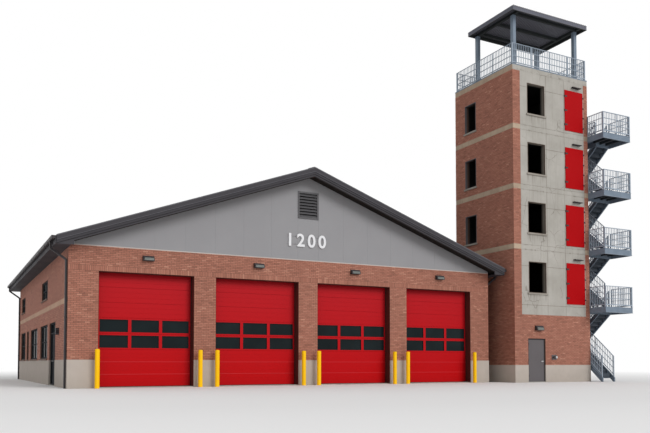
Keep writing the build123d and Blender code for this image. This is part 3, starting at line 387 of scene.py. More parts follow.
# The finishes under the functions that make them, with the colours and strengths that these take
kinds = {
    brickFinish: {"hallBrick": ()},
    mortarFinish: {"brickMortar": ()},
    blockFinish: {"paleBlock": ()},
    shingleFinish: {"roofShingle": ()},
    doorFinish: {"doorRed": ((178, 20, 30), (184, 3, 10), (96, 2, 8))},
    concreteFinish: {
        "castConcrete": ((178, 174, 167), (158, 154, 146)),
        "jointConcrete": ((138, 130, 120), (122, 114, 104)),
        "sillConcrete": ((156, 150, 141), (138, 131, 122)),
    },
    bandFinish: {
        "paleBand": ((186, 166, 144), (164, 144, 124), (136, 118, 100)),
        "paleCourse": ((194, 158, 134), (172, 138, 115), (140, 112, 94)),
        "windowLedge": ((124, 100, 88), (106, 84, 74), (86, 68, 60)),
    },
    steelFinish: {
        "stairSteel": ((118, 132, 147), (98, 111, 125)),
        # paler copy of the stair steel, partly painted light on the thin railing rods and rails
        "railSteel": ((156, 168, 181), (136, 148, 161)),
        # lighter than the stair steel: a painted highlight on the landings' rim flanges
        "rimSteel": ((138, 150, 163), (120, 132, 145)),
        # darker copy of the stair steel, partly painted shade on the flights' treads and risers
        "deckSteel": ((66, 74, 84), (54, 60, 68)),
        # darker copy of the stair steel: painted shade under the platforms
        "darkSteel": ((46, 52, 58), (38, 43, 48)),
    },
    glassFinish: {
        "darkGlass": ((20, 27, 29), (28, 37, 39), 0.08),
        "sideGlass": ((26, 32, 34), (36, 43, 46), 0.003),
    },
    paintFinish: {
        "gablePanel": ((148, 147, 149), (140, 139, 142), 0.75, 0.1),
        "roofTrim": ((68, 66, 70), (58, 57, 60), 0.6, 0.12),
        # lighter grey, partly a painted highlight where it lines the drip edges
        "trimEdge": ((92, 91, 96), (80, 79, 84), 0.5),
        "paleFlashing": ((190, 181, 175), (174, 165, 159), 0.5),
        "bronzeMetal": ((58, 54, 56), (46, 43, 45), 0.45, 0.2, 0.25, 0.2),
        # lighter red of the lips at the lower seams: a painted highlight
        "doorLip": ((205, 52, 58), (192, 44, 50), 0.4, 0.1),
        "shutterRed": ((172, 6, 13), (164, 5, 11), 0.5, 0.05),
        "windowMetal": ((44, 45, 49), (38, 39, 43), 0.7, 0.04),
        "edgeSteel": ((98, 86, 77), (80, 69, 62), 0.7, 0.05, 0.6),
        "canopyBeam": ((50, 53, 54), (42, 45, 45), 0.7, 0.1),
        "canopySheet": ((56, 59, 58), (46, 49, 48), 0.7, 0.1),
        # soffits dark partly as painted shade, and the painted shadow lines under the barge boards
        "darkSoffit": ((40, 36, 34), (34, 31, 30), 0.8, 0.05),
        # ribs lighter than their sheet: a painted highlight
        "canopyRib": ((112, 112, 122), (96, 96, 106), 0.5),
        "canopyFascia": ((92, 94, 105), (80, 82, 92), 0.5),
        # dark partly as painted shade of the bay reveals
        "bayLining": ((84, 40, 36), (68, 33, 30), 0.6, 0.1),
        "ventMetal": ((92, 91, 93), (78, 77, 80), 0.5),
        "sealRubber": ((26, 25, 26), (20, 19, 20), 0.7),
        "bollardYellow": ((255, 200, 0), (238, 180, 0), 0.45),
        "greyDoor": ((99, 95, 97), (91, 87, 89), 0.5, 0.12),
        "lampLens": ((124, 128, 124), (102, 106, 103), 0.35, 0.1),
        "brightMetal": ((200, 200, 200), (170, 170, 170), 0.3, 0.2, 0.25, 0.8),
        "signWhite": ((224, 224, 226), (212, 212, 215), 0.45),
    },
}
finishes = {name: make(name, *row) for make, rows in kinds.items() for name, row in rows.items()}
print("finishes made:", len(finishes))

nodeFinishes = {
    "brickMortar": "front_wall left_wall left_wall_over_door right_wall rear_wall tower_front_brick "
    "tower_door_lintel tower_left_wall tower_right_wall tower_rear_wall",
    "paleBlock": "front_plinth side_plinths rear_plinth",
    "paleCourse": "side_courses",
    "windowLedge": "window_sills",
    "castConcrete": "station_floor tower_floors",
    "sillConcrete": "tower_sills",
    "jointConcrete": "tower_front_panel",
    "gablePanel": "gable_walls",
    "roofShingle": "roof_left roof_right ridge_cap",
    "roofTrim": "barge_boards eave_boxes",
    "canopySheet": "canopy_roof",
    "bronzeMetal": "gutters downspouts wall_lamps shutter_hardware tower_door_frame",
    "doorRed": "bay_doors",
    "shutterRed": "tower_shutters",
    "darkGlass": "bay_door_glass",
    "sideGlass": "window_glass side_door_glass",
    "windowMetal": "window_frames side_door_frame side_door",
    "ventMetal": "gable_vents",
    "bollardYellow": "bollards",
    "greyDoor": "tower_door tower_top_door hose_connection",
    "stairSteel": "canopy_posts stair_landings half_landings stair_stringers stair_treads stair_posts",
    "railSteel": "deck_posts deck_railing flight_railings landing_railings",
    "canopyBeam": "canopy_beams",
}
for finishName, names in nodeFinishes.items():
    for name in names.split():
        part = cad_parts[name]
        if not part.data.materials:
            part.data.materials.append(None)
        for place in part.material_slots:
            place.link = "OBJECT"
            place.material = finishes[finishName]
print("CAD nodes finished")

# Corner numbers of a box's six sides, seen from outside, and which coordinates of each corner are high
boxSides = np.array([(0, 3, 2, 1), (4, 5, 6, 7), (0, 1, 5, 4), (1, 2, 6, 5), (2, 3, 7, 6), (3, 0, 4, 7)])
boxPicks = np.array([(0, 0, 0), (1, 0, 0), (1, 1, 0), (0, 1, 0), (0, 0, 1), (1, 0, 1), (1, 1, 1), (0, 1, 1)])


def boxes(ones, others):
    # one box or many, each between two opposite corners: every corner picks the lower or higher coordinates
    ones, others = np.atleast_2d(ones).astype(float), np.atleast_2d(others).astype(float)
    lows, highs = np.minimum(ones, others), np.maximum(ones, others)
    points = np.where(boxPicks[None], highs[:, None], lows[:, None])
    faces = boxSides[None] + 8 * np.arange(len(lows))[:, None, None]
    return points.reshape(-1, 3), faces.reshape(-1, 4)


def rods(starts, ends, radius, sides=6):
    # straight round bars: a ring of points about the axis at each end, joined by quads
    starts, ends = np.atleast_2d(starts).astype(float), np.atleast_2d(ends).astype(float)
    axis = ends - starts
    axis /= np.linalg.norm(axis, axis=1, keepdims=True)
    helper = np.where(np.abs(axis[:, 2:]) > 0.9, (1.0, 0.0, 0.0), (0.0, 0.0, 1.0))
    one = np.cross(helper, axis)
    one /= np.linalg.norm(one, axis=1, keepdims=True)
    two = np.cross(axis, one)
    angle = np.linspace(0, 2 * math.pi, sides, endpoint=False)
    circle = one[:, None] * np.cos(angle)[None, :, None] + two[:, None] * np.sin(angle)[None, :, None]
    points = np.concatenate([starts[:, None] + radius * circle, ends[:, None] + radius * circle], axis=1)
    turn = np.arange(sides)
    after = (turn + 1) % sides
    skin = np.stack([turn, after, after + sides, turn + sides], axis=1)
    near = [(0, n + 2, n + 1, n) for n in range(1, sides - 2, 2)]
    far = [(sides, sides + n, sides + n + 1, sides + n + 2) for n in range(1, sides - 2, 2)]
    pattern = np.concatenate([skin, near, far])
    faces = pattern[None] + 2 * sides * np.arange(len(starts))[:, None, None]
    return points.reshape(-1, 3), faces.reshape(-1, 4)


def ring(a, b, low, high, wide, near, far):
    # four bars round an opening, the uprights at full height, between two depths
    return [
        boxes((a, low, near), (a + wide, high, far)),
        boxes((b - wide, low, near), (b, high, far)),
        boxes((a + wide, low, near), (b - wide, low + wide, far)),
        boxes((a + wide, high - wide, near), (b - wide, high, far)),
    ]


def cellSlab(alongs, ups, filled, near, far):
    # a flat slab made of the filled cells of a grid: faces in front, behind and where a neighbour is empty
    across, upward = np.meshgrid(np.asarray(alongs, float), np.asarray(ups, float), indexing="ij")
    layers = [np.stack([across, upward, np.full_like(across, depth)], axis=-1) for depth in (near, far)]
    points = np.stack(layers).reshape(-1, 3)
    back = np.arange(across.size).reshape(across.shape)
    top = back + across.size
    c, r = np.nonzero(filled)
    faces = [
        np.stack([top[c, r], top[c + 1, r], top[c + 1, r + 1], top[c, r + 1]], 1),
        np.stack([back[c, r], back[c, r + 1], back[c + 1, r + 1], back[c + 1, r]], 1),
    ]
    padded = np.pad(filled, 1)
    borders = (
        ((0, 0), (1, 0), (1, 0)),
        ((1, 0), (1, 1), (2, 1)),
        ((1, 1), (0, 1), (1, 2)),
        ((0, 1), (0, 0), (0, 1)),
    )
    for start, end, beyond in borders:
        bare = ~padded[c + beyond[0], r + beyond[1]]
        a = (c[bare] + start[0], r[bare] + start[1])
        b = (c[bare] + end[0], r[bare] + end[1])
        faces.append(np.stack([back[a], back[b], top[b], top[a]], 1))
    used, faces = np.unique(np.concatenate(faces), return_inverse=True)
    return points[used], faces.reshape(-1, 4)


def gathered(shapes):
    # several (points, faces) as one
    points, faces, count = [], [], 0
    for shape in shapes:
        points.append(shape[0])
        faces.append(shape[1] + count)
        count += len(shape[0])
    return np.concatenate(points), np.concatenate(faces)


# Which way "along" and "out" point on each face of a building, seen from outside
facing = {
    "front": ((1, 0, 0), (0, -1, 0)),
    "rear": ((-1, 0, 0), (0, 1, 0)),
    "left": ((0, -1, 0), (-1, 0, 0)),
    "right": ((0, 1, 0), (1, 0, 0)),
}


def onWall(side, plane, shape):
    # (along, up, out) measured on a wall to the model's own x, y, z
    along, out = (np.array(axis, float) for axis in facing[side])
    points = shape[0]
    placed = points[:, :1] * along + points[:, 2:] * out + points[:, 1:2] * np.array((0, 0, 1.0))
    return placed + np.abs(out) * plane, shape[1]


def spanOn(side, low, high):
    # a stretch of the model's x or y as a stretch along that wall
    return (-high, -low) if side in ("rear", "left") else (low, high)


def grown(span, by):
    # a stretch made longer by as much at both ends
    return span[0] - by, span[1] + by


def addMesh(name, mesh, finish, body="building"):
    # a piece in metres at the origin, riding on its body
    mesh.materials.append(finishes[finish])
    piece = bpy.data.objects.new(name, mesh)
    bpy.context.scene.collection.objects.link(piece)
    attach(piece, body)
    return piece


def addPiece(name, shapes, finish, wall=None, tone=None, body="building", replaces=(), bevel=0.0):
    # one mesh of all the shapes, which are measured on a wall where its side and plane are given
    points, faces = onWall(*wall, gathered(shapes)) if wall else gathered(shapes)
    mesh = bpy.data.meshes.new(name)
    mesh.vertices.add(len(points))
    mesh.vertices.foreach_set("co", points.astype(np.float32).ravel())
    mesh.loops.add(faces.size)
    mesh.loops.foreach_set("vertex_index", faces.astype(np.int32).ravel())
    mesh.polygons.add(len(faces))
    mesh.polygons.foreach_set("loop_start", np.arange(0, faces.size, 4, dtype=np.int32))
    mesh.update(calc_edges=True)
    mesh.shade_flat()
    if tone is not None:
        shade = mesh.attributes.new("tone", "FLOAT", "FACE")
        shade.data.foreach_set("value", np.repeat(tone, len(faces) // len(tone)).astype(np.float32))
    piece = addMesh(name, mesh, finish, body)
    if bevel:
        edge = piece.modifiers.new("edges", "BEVEL")
        edge.width = bevel
        edge.segments = 2
        edge.limit_method = "ANGLE"
    if replaces:
        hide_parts(*replaces)


# Brickwork and blockwork: real bricks a few millimetres proud of the CAD wall, which is their mortar
brickwork = {"long": 0.2032, "tall": 0.0677, "joint": 0.012, "proud": 0.007, "sunk": 0.004, "lean": 0.0012}
blockwork = {"long": 0.406, "tall": 0.2112, "joint": 0.004, "proud": 0.0015, "sunk": 0.004, "lean": 0.0}
soldierTall = 0.203
laying = {"leastShare": 0.01, "leastCut": 0.02, "touch": 1e-4, "end": 1e-3}
draws = np.random.default_rng(12)


def ruler(keys, pitch, step):
    # unit lines that meet every key: each stretch between keys is divided evenly, in steps of part of a unit
    keys = np.unique(np.round(keys, 4))
    counts = np.maximum(1, np.round(np.diff(keys) / pitch / step)) * step
    return np.concatenate([[0], np.cumsum(counts)]), keys


def layBricks(side, plane, span, rise, holes=(), ends=0.0, work=brickwork, soldiers=()):
    # rows of bricks, every other row half a brick on, cut back at holes and at rows of upright soldiers
    low, high = spanOn(side, *span)
    holes, soldiers = ([(*spanOn(side, *row[:2]), *row[2:]) for row in rows] for rows in (holes, soldiers))
    blocked = holes + soldiers
    inAlong = [edge for hole in blocked for edge in hole[:2] if low < edge < high]
    inUp = [edge for hole in blocked for edge in hole[2:] if rise[0] < edge < rise[1]]
    units, alongs = ruler([low, high, *inAlong], work["long"], 0.5)
    courses, ups = ruler([*rise, *inUp], work["tall"], 1.0)
    row, column = np.meshgrid(np.arange(int(courses[-1])), np.arange(int(units[-1]) + 2), indexing="ij")
    row, column = row.ravel(), column.ravel() - 0.5 * (row.ravel() % 2)
    start, end = np.clip(column, 0, units[-1]), np.clip(column + 1, 0, units[-1])
    keep = end - start > laying["leastShare"]
    row, start, end = row[keep], start[keep], end[keep]
    sides = [np.interp(edge, units, alongs) for edge in (start, end)]
    rects = np.stack([*sides, *[np.interp(edge, courses, ups) for edge in (row, row + 1)]], axis=1)
    for hole in blocked:
        a, b, c, d = rects.T
        left, right, foot, top = (*grown(hole[:2], -laying["touch"]), *grown(hole[2:], -laying["touch"]))
        meets = (b > left) & (a < right) & (d > foot) & (c < top)
        before, after = hole[0] - a, b - hole[1]
        toBefore = meets & (before >= after) & (before > laying["leastCut"])
        toAfter = meets & ~toBefore & (after > laying["leastCut"])
        rects[toBefore, 1] = hole[0]
        rects[toAfter, 0] = hole[1]
        rects = rects[~(meets & ~toBefore & ~toAfter)]
    upright = [rects]
    for a, b, c, d in soldiers:
        count = max(1, round((b - a) / work["tall"]))
        edges = np.linspace(a, b, count + 1)
        upright.append(np.stack([edges[:-1], edges[1:], np.full(count, c), np.full(count, d)], axis=1))
    a, b, c, d = np.concatenate(upright).T
    half = work["joint"] / 2
    a = np.where(a < low + laying["end"], a - ends, a + half)
    b = np.where(b > high - laying["end"], b + ends, b - half)
    tilt = draws.uniform(-1, 1, len(a)) * work["lean"]
    lows = np.stack([a, c + half, np.full(len(a), -work["sunk"])], axis=1)
    highs = np.stack([b, d - half, work["proud"] + tilt], axis=1)
    return onWall(side, plane, boxes(lows, highs)), draws.random(len(a))


def wallPiece(name, calls, finish="hallBrick"):
    # one piece of several stretches of brickwork, each brick with its own tone
    shapes, tones = zip(*[layBricks(*call[:4], **call[4]) for call in calls])
    addPiece(name, shapes, finish, tone=np.concatenate(tones))


def over(hole):
    # the soldiers' row above an opening
    return (*hole[:2], hole[3], hole[3] + soldierTall)


half, front, rear = hall["half"], hall["front"], hall["rear"]
corner = brickwork["proud"]
rise = (hall["plinthTop"], hall["brickTop"])
bays = [(left, left + hall["bayWidth"]) for left in hall["bayLefts"]]
bayHoles = [(*bay, 0, hall["bayHead"]) for bay in bays]
extras = {"holes": bayHoles, "ends": corner, "soldiers": [over((-half, half, 0, hall["bayHead"]))]}
wallPiece("hall_front_bricks", [("front", front, (-half, half), rise, extras)])

windows = [
    (front + near, front + near + width, sill - hall["sillThick"], head)
    for sill, head, row in hall["windowRows"]
    for near, width in row
]
sideDoor = (*hall["sideDoor"], 0, hall["sideDoorHead"])
for side, plane, openings in (("left", -half, [*windows, sideDoor]), ("right", half, windows)):
    extras = {"holes": [(front, rear, *hall["course"]), *openings]}
    extras["soldiers"] = [over(hole) for hole in openings]
    sideRise = (hall["plinthTop"], hall["soffit"])
    wallPiece(f"hall_{side}_bricks", [(side, plane, (front, rear), sideRise, extras)])

rearLefts = [left + (hall["bayWidth"] - hall["rearWindow"]) / 2 for left in hall["bayLefts"]]
rearHoles = [(left, left + hall["rearWindow"], 0, hall["rearHead"]) for left in rearLefts]
extras = {"holes": rearHoles, "ends": corner, "soldiers": [over(hole) for hole in rearHoles]}
wallPiece("hall_rear_bricks", [("rear", rear, (-half, half), rise, extras)])
print("hall bricks laid")

towerX, towerY = (tower["left"], tower["right"]), (tower["front"], tower["rear"])
towerWalls = {
    "front": (towerY[0], towerX),
    "rear": (towerY[1], towerX),
    "left": (towerX[0], towerY),
    "right": (towerX[1], towerY),
}
deckTop, deckUnder = tower["deck"], tower["deck"] - tower["deckSlab"]
bands = [(level - tower["slab"], level) for level in levels[1:]]


def roomHoles(span, floors):
    # the openings of the rooms on these floors, with their sills
    sills = [level + tower["sideSill"] for level in floors]
    return [(*span, sill - tower["sillThick"], sill + tower["sideHigh"]) for sill in sills]


towerHoles = {
    "front": [(*tower["panel"], tower["panelLow"], deckUnder), (*tower["door"], 0, tower["doorHead"])],
    "left": roomHoles(tower["sideWindow"], levels[1:]),
    "right": [(*tower["topDoor"], levels[-1], levels[-1] + tower["topDoorHigh"])],
    "rear": roomHoles(tower["rearWindow"], levels),
}
for side, holes in towerHoles.items():
    plane, span = towerWalls[side]
    extras = {"holes": holes + [(*span, *band) for band in bands], "ends": corner * (span == towerX)}
    wallPiece(f"tower_{side}_bricks", [(side, plane, span, (tower["plinthTop"], deckUnder), extras)])
print("tower bricks laid")


def plinthCalls(spanX, spanY, top, fronts, lefts):
    # blocks all round a plinth, whose front and left side come in stretches beside the doorways
    walls = [("front", spanY[0], span) for span in fronts] + [("left", spanX[0], span) for span in lefts]
    walls += [("right", spanX[1], spanY), ("rear", spanY[1], spanX)]
    ends = {"left": blockwork["proud"], "right": blockwork["proud"]}
    return [(*wall, (0, top), {"work": blockwork, "ends": ends.get(wall[0], 0.0)}) for wall in walls]


# Plinth blocks and the pale course of the side walls
spanX, spanY = grown((-half, half), hall["plinthProud"]), grown((front, rear), hall["plinthProud"])
edges = [spanX[0], *[edge for bay in bays for edge in bay], spanX[1]]
sides = [(spanY[0], hall["sideDoor"][0]), (hall["sideDoor"][1], spanY[1])]
calls = plinthCalls(spanX, spanY, hall["plinthTop"], zip(edges[::2], edges[1::2]), sides)
spanX, spanY = grown(towerX, tower["plinthProud"]), grown(towerY, tower["plinthProud"])
fronts = [(spanX[0], tower["door"][0]), (tower["door"][1], spanX[1])]
calls += plinthCalls(spanX, spanY, tower["plinthTop"], fronts, [spanY])
wallPiece("plinth_blocks", calls, "paleBlock")
out, stretch = half + hall["courseProud"], (front + hall["wall"], rear - hall["wall"])
planes = {"left": -out, "right": out}
calls = [(side, plane, stretch, hall["course"], {"work": blockwork}) for side, plane in planes.items()]
wallPiece("course_blocks", calls, "paleCourse")
print("plinth blocks laid")

# Concrete faces of the tower: formwork panels with open joints between them
formwork = {"proud": 0.006, "joint": 0.02, "midJoint": 1.9, "columns": [12.68, 13.89], "bandJoints": 1.25}
gap, reach, lap = formwork["joint"], formwork["proud"], tower["shutterLap"]
bandGap = gap / 4  # at each side of a joint, which is half as wide here as between the panels


def jointed(lines, low, high):
    # both edges of the joint at each line, between the ends
    return [low, high, *[line + turn * gap / 2 for line in lines for turn in (-1, 1)]]


rows = [*levels, *[low for low, high in bands], *[level + formwork["midJoint"] for level in levels]]
holes = []
for level in levels:
    sill, foot = level + tower["windowSill"], level + tower["shutterLow"]
    holes.append((*tower["window"], sill - tower["sillThick"], sill + tower["windowHigh"]))
    holes.append((*grown(tower["shutter"], -lap), *grown((foot, foot + tower["shutterHigh"]), -lap)))
alongs = jointed(formwork["columns"], *tower["panel"]) + [edge for hole in holes for edge in hole[:2]]
ups = jointed(rows, tower["panelLow"], deckUnder) + [edge for hole in holes for edge in hole[2:]]
alongs, ups = np.unique(np.round(alongs, 4)), np.unique(np.round(ups, 4))
across, upward = np.meshgrid((alongs[1:] + alongs[:-1]) / 2, (ups[1:] + ups[:-1]) / 2, indexing="ij")
filled = np.ones_like(across, bool)
for middles, lines in ((across, formwork["columns"]), (upward, rows)):
    for line in lines:
        filled &= np.abs(middles - line) > gap / 2
for a, b, low, high in holes:
    filled &= ~((across > a) & (across < b) & (upward > low) & (upward < high))
panel = cellSlab(alongs, ups, filled, 0, reach)
addPiece("concrete_panels", [panel], "castConcrete", ("front", towerY[0]))

bandPlates, deckPlates = [], []
for low, high in [*bands, (deckUnder, deckTop)]:
    for side, (plane, span) in towerWalls.items():
        start, end = spanOn(side, *grown(span, reach * (span == towerX)))
        if side == "front" and high < deckTop:
            stretches = [(start, tower["panel"][0] - gap / 2), (tower["panel"][1] + gap / 2, end)]
        else:
            edges = np.linspace(start, end, round((end - start) / formwork["bandJoints"]) + 1)
            stretches = zip(edges[:-1] + bandGap, edges[1:] - bandGap)
        plates = deckPlates if side == "front" and high == deckTop else bandPlates
        for one, two in stretches:
            plates.append(onWall(side, plane, boxes((one, low + bandGap, 0), (two, high - bandGap, reach))))
addPiece("band_plates", bandPlates, "paleBand")
addPiece("deck_edge_plates", deckPlates, "castConcrete")
print("concrete panels cast")

# Sectional bay doors: pressed skins with fine grooves, rubber round the panes and the edges, dark linings
bayDoor = {
    "plane": front + hall["wall"],
    "floor": 0.03,
    "sections": [0.473] * 3 + [0.6] * 2 + [0.58] * 3,
    "glazed": (3, 4),
    "lipped": (1, 2),
    "seam": 0.006,
    "groove": 0.003,
    "grooves": 3,
    "skinDeep": (-0.003, 0.006),
    "paneEdge": 0.105,
    "paneGap": 0.126,
    "paneMargin": 0.062,
}
bead = {"wide": 0.012, "near": -0.02, "far": 0.009}
lip = {"under": 0.001, "over": 0.008, "near": -0.006, "far": 0.007}
seal = {"wide": 0.035, "deep": -0.03, "out": 0.01, "foot": 0.004, "top": bayDoor["floor"] + 0.02}
# the linings' dark red-brown is partly painted shade of the deep bay reveals
lining = {"near": front + 0.012, "far": bayDoor["plane"] - 0.008, "out": 0.01, "into": 0.002, "foot": 0.004}
head, seam, (back, out) = hall["bayHead"], bayDoor["seam"], bayDoor["skinDeep"]
paneWide = (hall["bayWidth"] - 2 * bayDoor["paneEdge"] - 2 * bayDoor["paneGap"]) / 3
seams = bayDoor["floor"] + np.concatenate([[0], np.cumsum(bayDoor["sections"])])
filled = np.ones((7, 3), bool)
filled[1::2, 1] = False
skins, beads, seals, lips, linings = [], [], [], [], []
for left, right in bays:
    starts = [left + bayDoor["paneEdge"] + n * (paneWide + bayDoor["paneGap"]) for n in range(3)]
    columns = [left, *[edge for start in starts for edge in (start, start + paneWide)], right]
    for n, (foot, top) in enumerate(zip(seams[:-1], seams[1:])):
        low, high = foot + seam, min(top - seam, head)
        if n in bayDoor["glazed"]:
            pane = grown((foot, top), -bayDoor["paneMargin"])
            skins.append(cellSlab(columns, [low, *pane, high], filled, back, out))
            for start in starts:
                beads += ring(start, start + paneWide, *pane, **bead)
            continue
        if n in bayDoor["lipped"]:
            lipFoot, lipTop = foot - lip["under"], low + lip["over"]
            lips.append(boxes((left, lipFoot, lip["near"]), (right, lipTop, lip["far"])))
        edges = np.linspace(low, high, bayDoor["grooves"] + 1)
        for one, two in zip(edges[:-1] + bayDoor["groove"] / 2, edges[1:] - bayDoor["groove"] / 2):
            skins.append(boxes((left, one, back), (right, two, out)))
    inLeft, inRight = grown((left, right), -seal["wide"])
    seals.append(boxes((left, 0, 0), (inLeft, head, seal["out"])))
    seals.append(boxes((inRight, 0, 0), (right, head, seal["out"])))
    seals.append(boxes((inLeft, seal["foot"], seal["deep"]), (inRight, seal["top"], seal["out"])))
    near, far, foot, into = lining["near"], lining["far"], lining["foot"], lining["into"]
    inLeft, inRight = grown((left, right), -lining["out"])
    linings.append(boxes((left - into, near, foot), (inLeft, far, head)))
    linings.append(boxes((inRight, near, foot), (right + into, far, head)))
    linings.append(boxes((inLeft, near, head - lining["out"] - into), (inRight, far, head + into)))
doorWall = ("front", bayDoor["plane"])
addPiece("bay_door_skins", skins, "doorRed", doorWall, bevel=0.0015)
addPiece("bay_door_beads", beads, "sealRubber", doorWall)
# the lips' lighter red is a painted highlight along the lower seams
addPiece("bay_door_lips", lips, "doorLip", doorWall)
addPiece("bay_door_seals", seals, "sealRubber", doorWall)
addPiece("bay_linings", linings, "bayLining")
print("bay doors skinned")

# Gable cladding: upright panels under the roof, cut round the louvre, over a pale flashing
gable = {"panel": 1.22, "joint": 0.003, "proud": 0.005, "sunk": 0.003, "clear": 0.004, "end": 0.3}
vent = {"half": 0.49, "low": 7.08, "high": 8.24, "clear": 0.003}
flashing = {"half": 0.018, "deep": (-0.002, 0.014)}
foot = hall["brickTop"]
steps = vent["half"] + gable["panel"] * np.arange(20)
steps = [*steps[steps < half - gable["end"]], half]
spans = [(0, vent["half"], vent["high"]), *[(a, b, foot) for a, b in zip(steps[:-1], steps[1:])]]
panels, flashings = [], []
for side, plane in (("front", front), ("rear", rear)):
    middle = vent["half"] - vent["clear"]
    parts = [boxes((-middle, foot, 0), (middle, vent["low"], 1))]
    for a, b, low in spans:
        a, b = a + gable["joint"] / 2 * (a > 0), b - gable["joint"] / 2 * (b < half)
        for turn in (-1, 1):
            points, faces = boxes((turn * a, low, 0), (turn * b, low + 1, 1))
            under = roof["apexUnder"] - np.abs(points[:, 0]) * roof["slope"] - gable["clear"]
            points[:, 1] = np.where(points[:, 1] > low + 0.5, under, low)
            parts.append((points, faces))
    points, faces = gathered(parts)
    points[:, 2] = np.where(points[:, 2] > 0.5, gable["proud"], -gable["sunk"])
    panels.append(onWall(side, plane, (points, faces)))
    (low, high), (near, far) = grown((foot, foot), flashing["half"]), flashing["deep"]
    flashings.append(onWall(side, plane, boxes((-half, low, near), (half, high, far))))
addPiece("gable_panels", panels, "gablePanel")
addPiece("gable_flashings", flashings, "paleFlashing", bevel=0.003)

# Plain raised numerals on the gable: the font's outline fitted to a box on the wall, on two rows of rails
numerals = {
    "text": "1200",
    "spacing": 1.35,
    "bolder": 0.022,
    "middle": -0.05,
    "low": 5.86,
    "high": 6.42,
    "raise": (0.012, 0.062),
    "rails": [(5.96, 5.985), (6.28, 6.305)],
    "railCount": 5,
    "railHalf": 0.2,
    "railEnd": 0.75,
    "railDeep": (-0.002, 0.016),
}
letters = bpy.data.curves.new("numeralOutline", "FONT")
letters.body = numerals["text"]
letters.space_character = numerals["spacing"]
letters.extrude = 0.05  # any depth will do, as it is fitted to the numerals' raise below
letters.offset = numerals["bolder"]
drawn = bpy.data.objects.new("numeralOutline", letters)
bpy.context.scene.collection.objects.link(drawn)
bpy.context.view_layer.update()
mesh = bpy.data.meshes.new_from_object(drawn.evaluated_get(bpy.context.evaluated_depsgraph_get()))
bpy.data.objects.remove(drawn)
mesh.name = "gable_numerals"
flat = np.empty(len(mesh.vertices) * 3, np.float32)
mesh.vertices.foreach_get("co", flat)
flat = flat.reshape(-1, 3)
low, high = flat.min(axis=0), flat.max(axis=0)
scale = (numerals["high"] - numerals["low"]) / (high[1] - low[1])
x = (flat[:, 0] - (low[0] + high[0]) / 2) * scale + numerals["middle"]
y = front - np.interp(flat[:, 2], (low[2], high[2]), numerals["raise"])
z = (flat[:, 1] - low[1]) * scale + numerals["low"]
mesh.vertices.foreach_set("co", np.stack([x, y, z], axis=1).astype(np.float32).ravel())
mesh.update()
mesh.materials.clear()
addMesh("gable_numerals", mesh, "signWhite")
rails, (near, far) = [], numerals["railDeep"]
for middle in np.linspace(*grown((numerals["middle"],) * 2, numerals["railEnd"]), numerals["railCount"]):
    a, b = grown((middle, middle), numerals["railHalf"])
    rails += [boxes((a, low, near), (b, high, far)) for low, high in numerals["rails"]]
addPiece("numeral_rails", rails, "gablePanel", ("front", front))
print("gables clad")

# Roof shingles: wedge-shaped tabs in rows down each slope, joints staggered from row to row
shingle = {
    "exposure": 0.145 * math.cos(math.atan(roof["slope"])),
    "wide": 0.333,
    "least": 0.03,
    "shift": 0.382,
    "tone": (0.45, 0.2),
    "joint": 0.006,
    "thin": 0.002,
    "thick": 0.01,
    "sunk": 0.003,
    "ridge": 0.27,
    "ridgeLap": 0.01,
    "ridgeLift": 0.026,
    "ridgeOver": 0.03,
}


def tabs(low, high, near, far, turn, lift):
    # rows between two distances from the ridge, tabs between two places along it, each thickening downhill
    lines = np.linspace(low, high, max(1, round((high - low) / shingle["exposure"])) + 1)
    count = round((far - near) / shingle["wide"])
    row, column = np.meshgrid(np.arange(len(lines) - 1), np.arange(count + 1), indexing="ij")
    row, column = row.ravel(), column.ravel()
    start = near + (column - (row * shingle["shift"]) % 1.0) * shingle["wide"]
    start, end = np.clip(start, near, far), np.clip(start + shingle["wide"], near, far)
    keep = end - start > shingle["least"]
    row, start, end = row[keep], start[keep], end[keep]
    gap = shingle["joint"] / 2
    lows = np.stack([lines[row], start + gap, np.full(len(row), -shingle["sunk"])], axis=1)
    highs = np.stack([lines[row + 1], end - gap, np.full(len(row), 1.0)], axis=1)
    points, faces = boxes(lows, highs)
    away, along, height = points.T
    share = (away - np.repeat(lines[row], 8)) / np.repeat(lines[row + 1] - lines[row], 8)
    wedge = shingle["thin"] + share * (shingle["thick"] - shingle["thin"])
    height = roof["apexTop"] - away * roof["slope"] + np.where(height > 0.5, wedge, height) + lift
    tone = np.clip(draws.normal(*shingle["tone"], len(row)), 0, 1)
    return (np.stack([away * turn, along, height], axis=1), faces if turn > 0 else faces[:, ::-1]), tone


rakes = grown((roof["near"], roof["far"]), roof["trim"])
for name, turn in (("shingles_left", -1), ("shingles_right", 1)):
    shape, tone = tabs(shingle["ridge"] - shingle["ridgeLap"], roof["eave"], *rakes, turn, 0)
    addPiece(name, [shape], "roofShingle", tone=tone)
ends = grown((roof["near"], roof["far"]), shingle["ridgeOver"])
shapes, tones = zip(*[tabs(0.0, shingle["ridge"], *ends, turn, shingle["ridgeLift"]) for turn in (-1, 1)])
addPiece("ridge_shingles", shapes, "roofShingle", tone=np.concatenate(tones))

# Drip edges on the rakes, a soffit under each of them, dark in part as painted shade, and dark strips along
# the feet of the barge boards as painted shadow lines
drips = {"into": 0.004, "rows": [(0.012, (-0.036, 0.008)), (0.006, (-0.19, -0.172))]}
soffit = {"tall": (-0.006, 0.002), "lap": 0.006}
# the strip is the painted shadow line along each barge board's foot: its heights, depth into the board and
# proudness
board = {"drop": 0.11, "thick": 0.04, "return": 0.095, "strip": (-0.003, 0.03), "into": 0.01, "proud": 0.004}


def rakeStrips(near, far, low, high, reach=roof["eave"]):
    # a strip drawn level at the ridge and slid down along both slopes
    strips = [boxes((turn * reach, near, low), (0, far, high)) for turn in (-1, 1)]
    for points, faces in strips:
        points[:, 2] -= np.abs(points[:, 0]) * roof["slope"]
    return strips


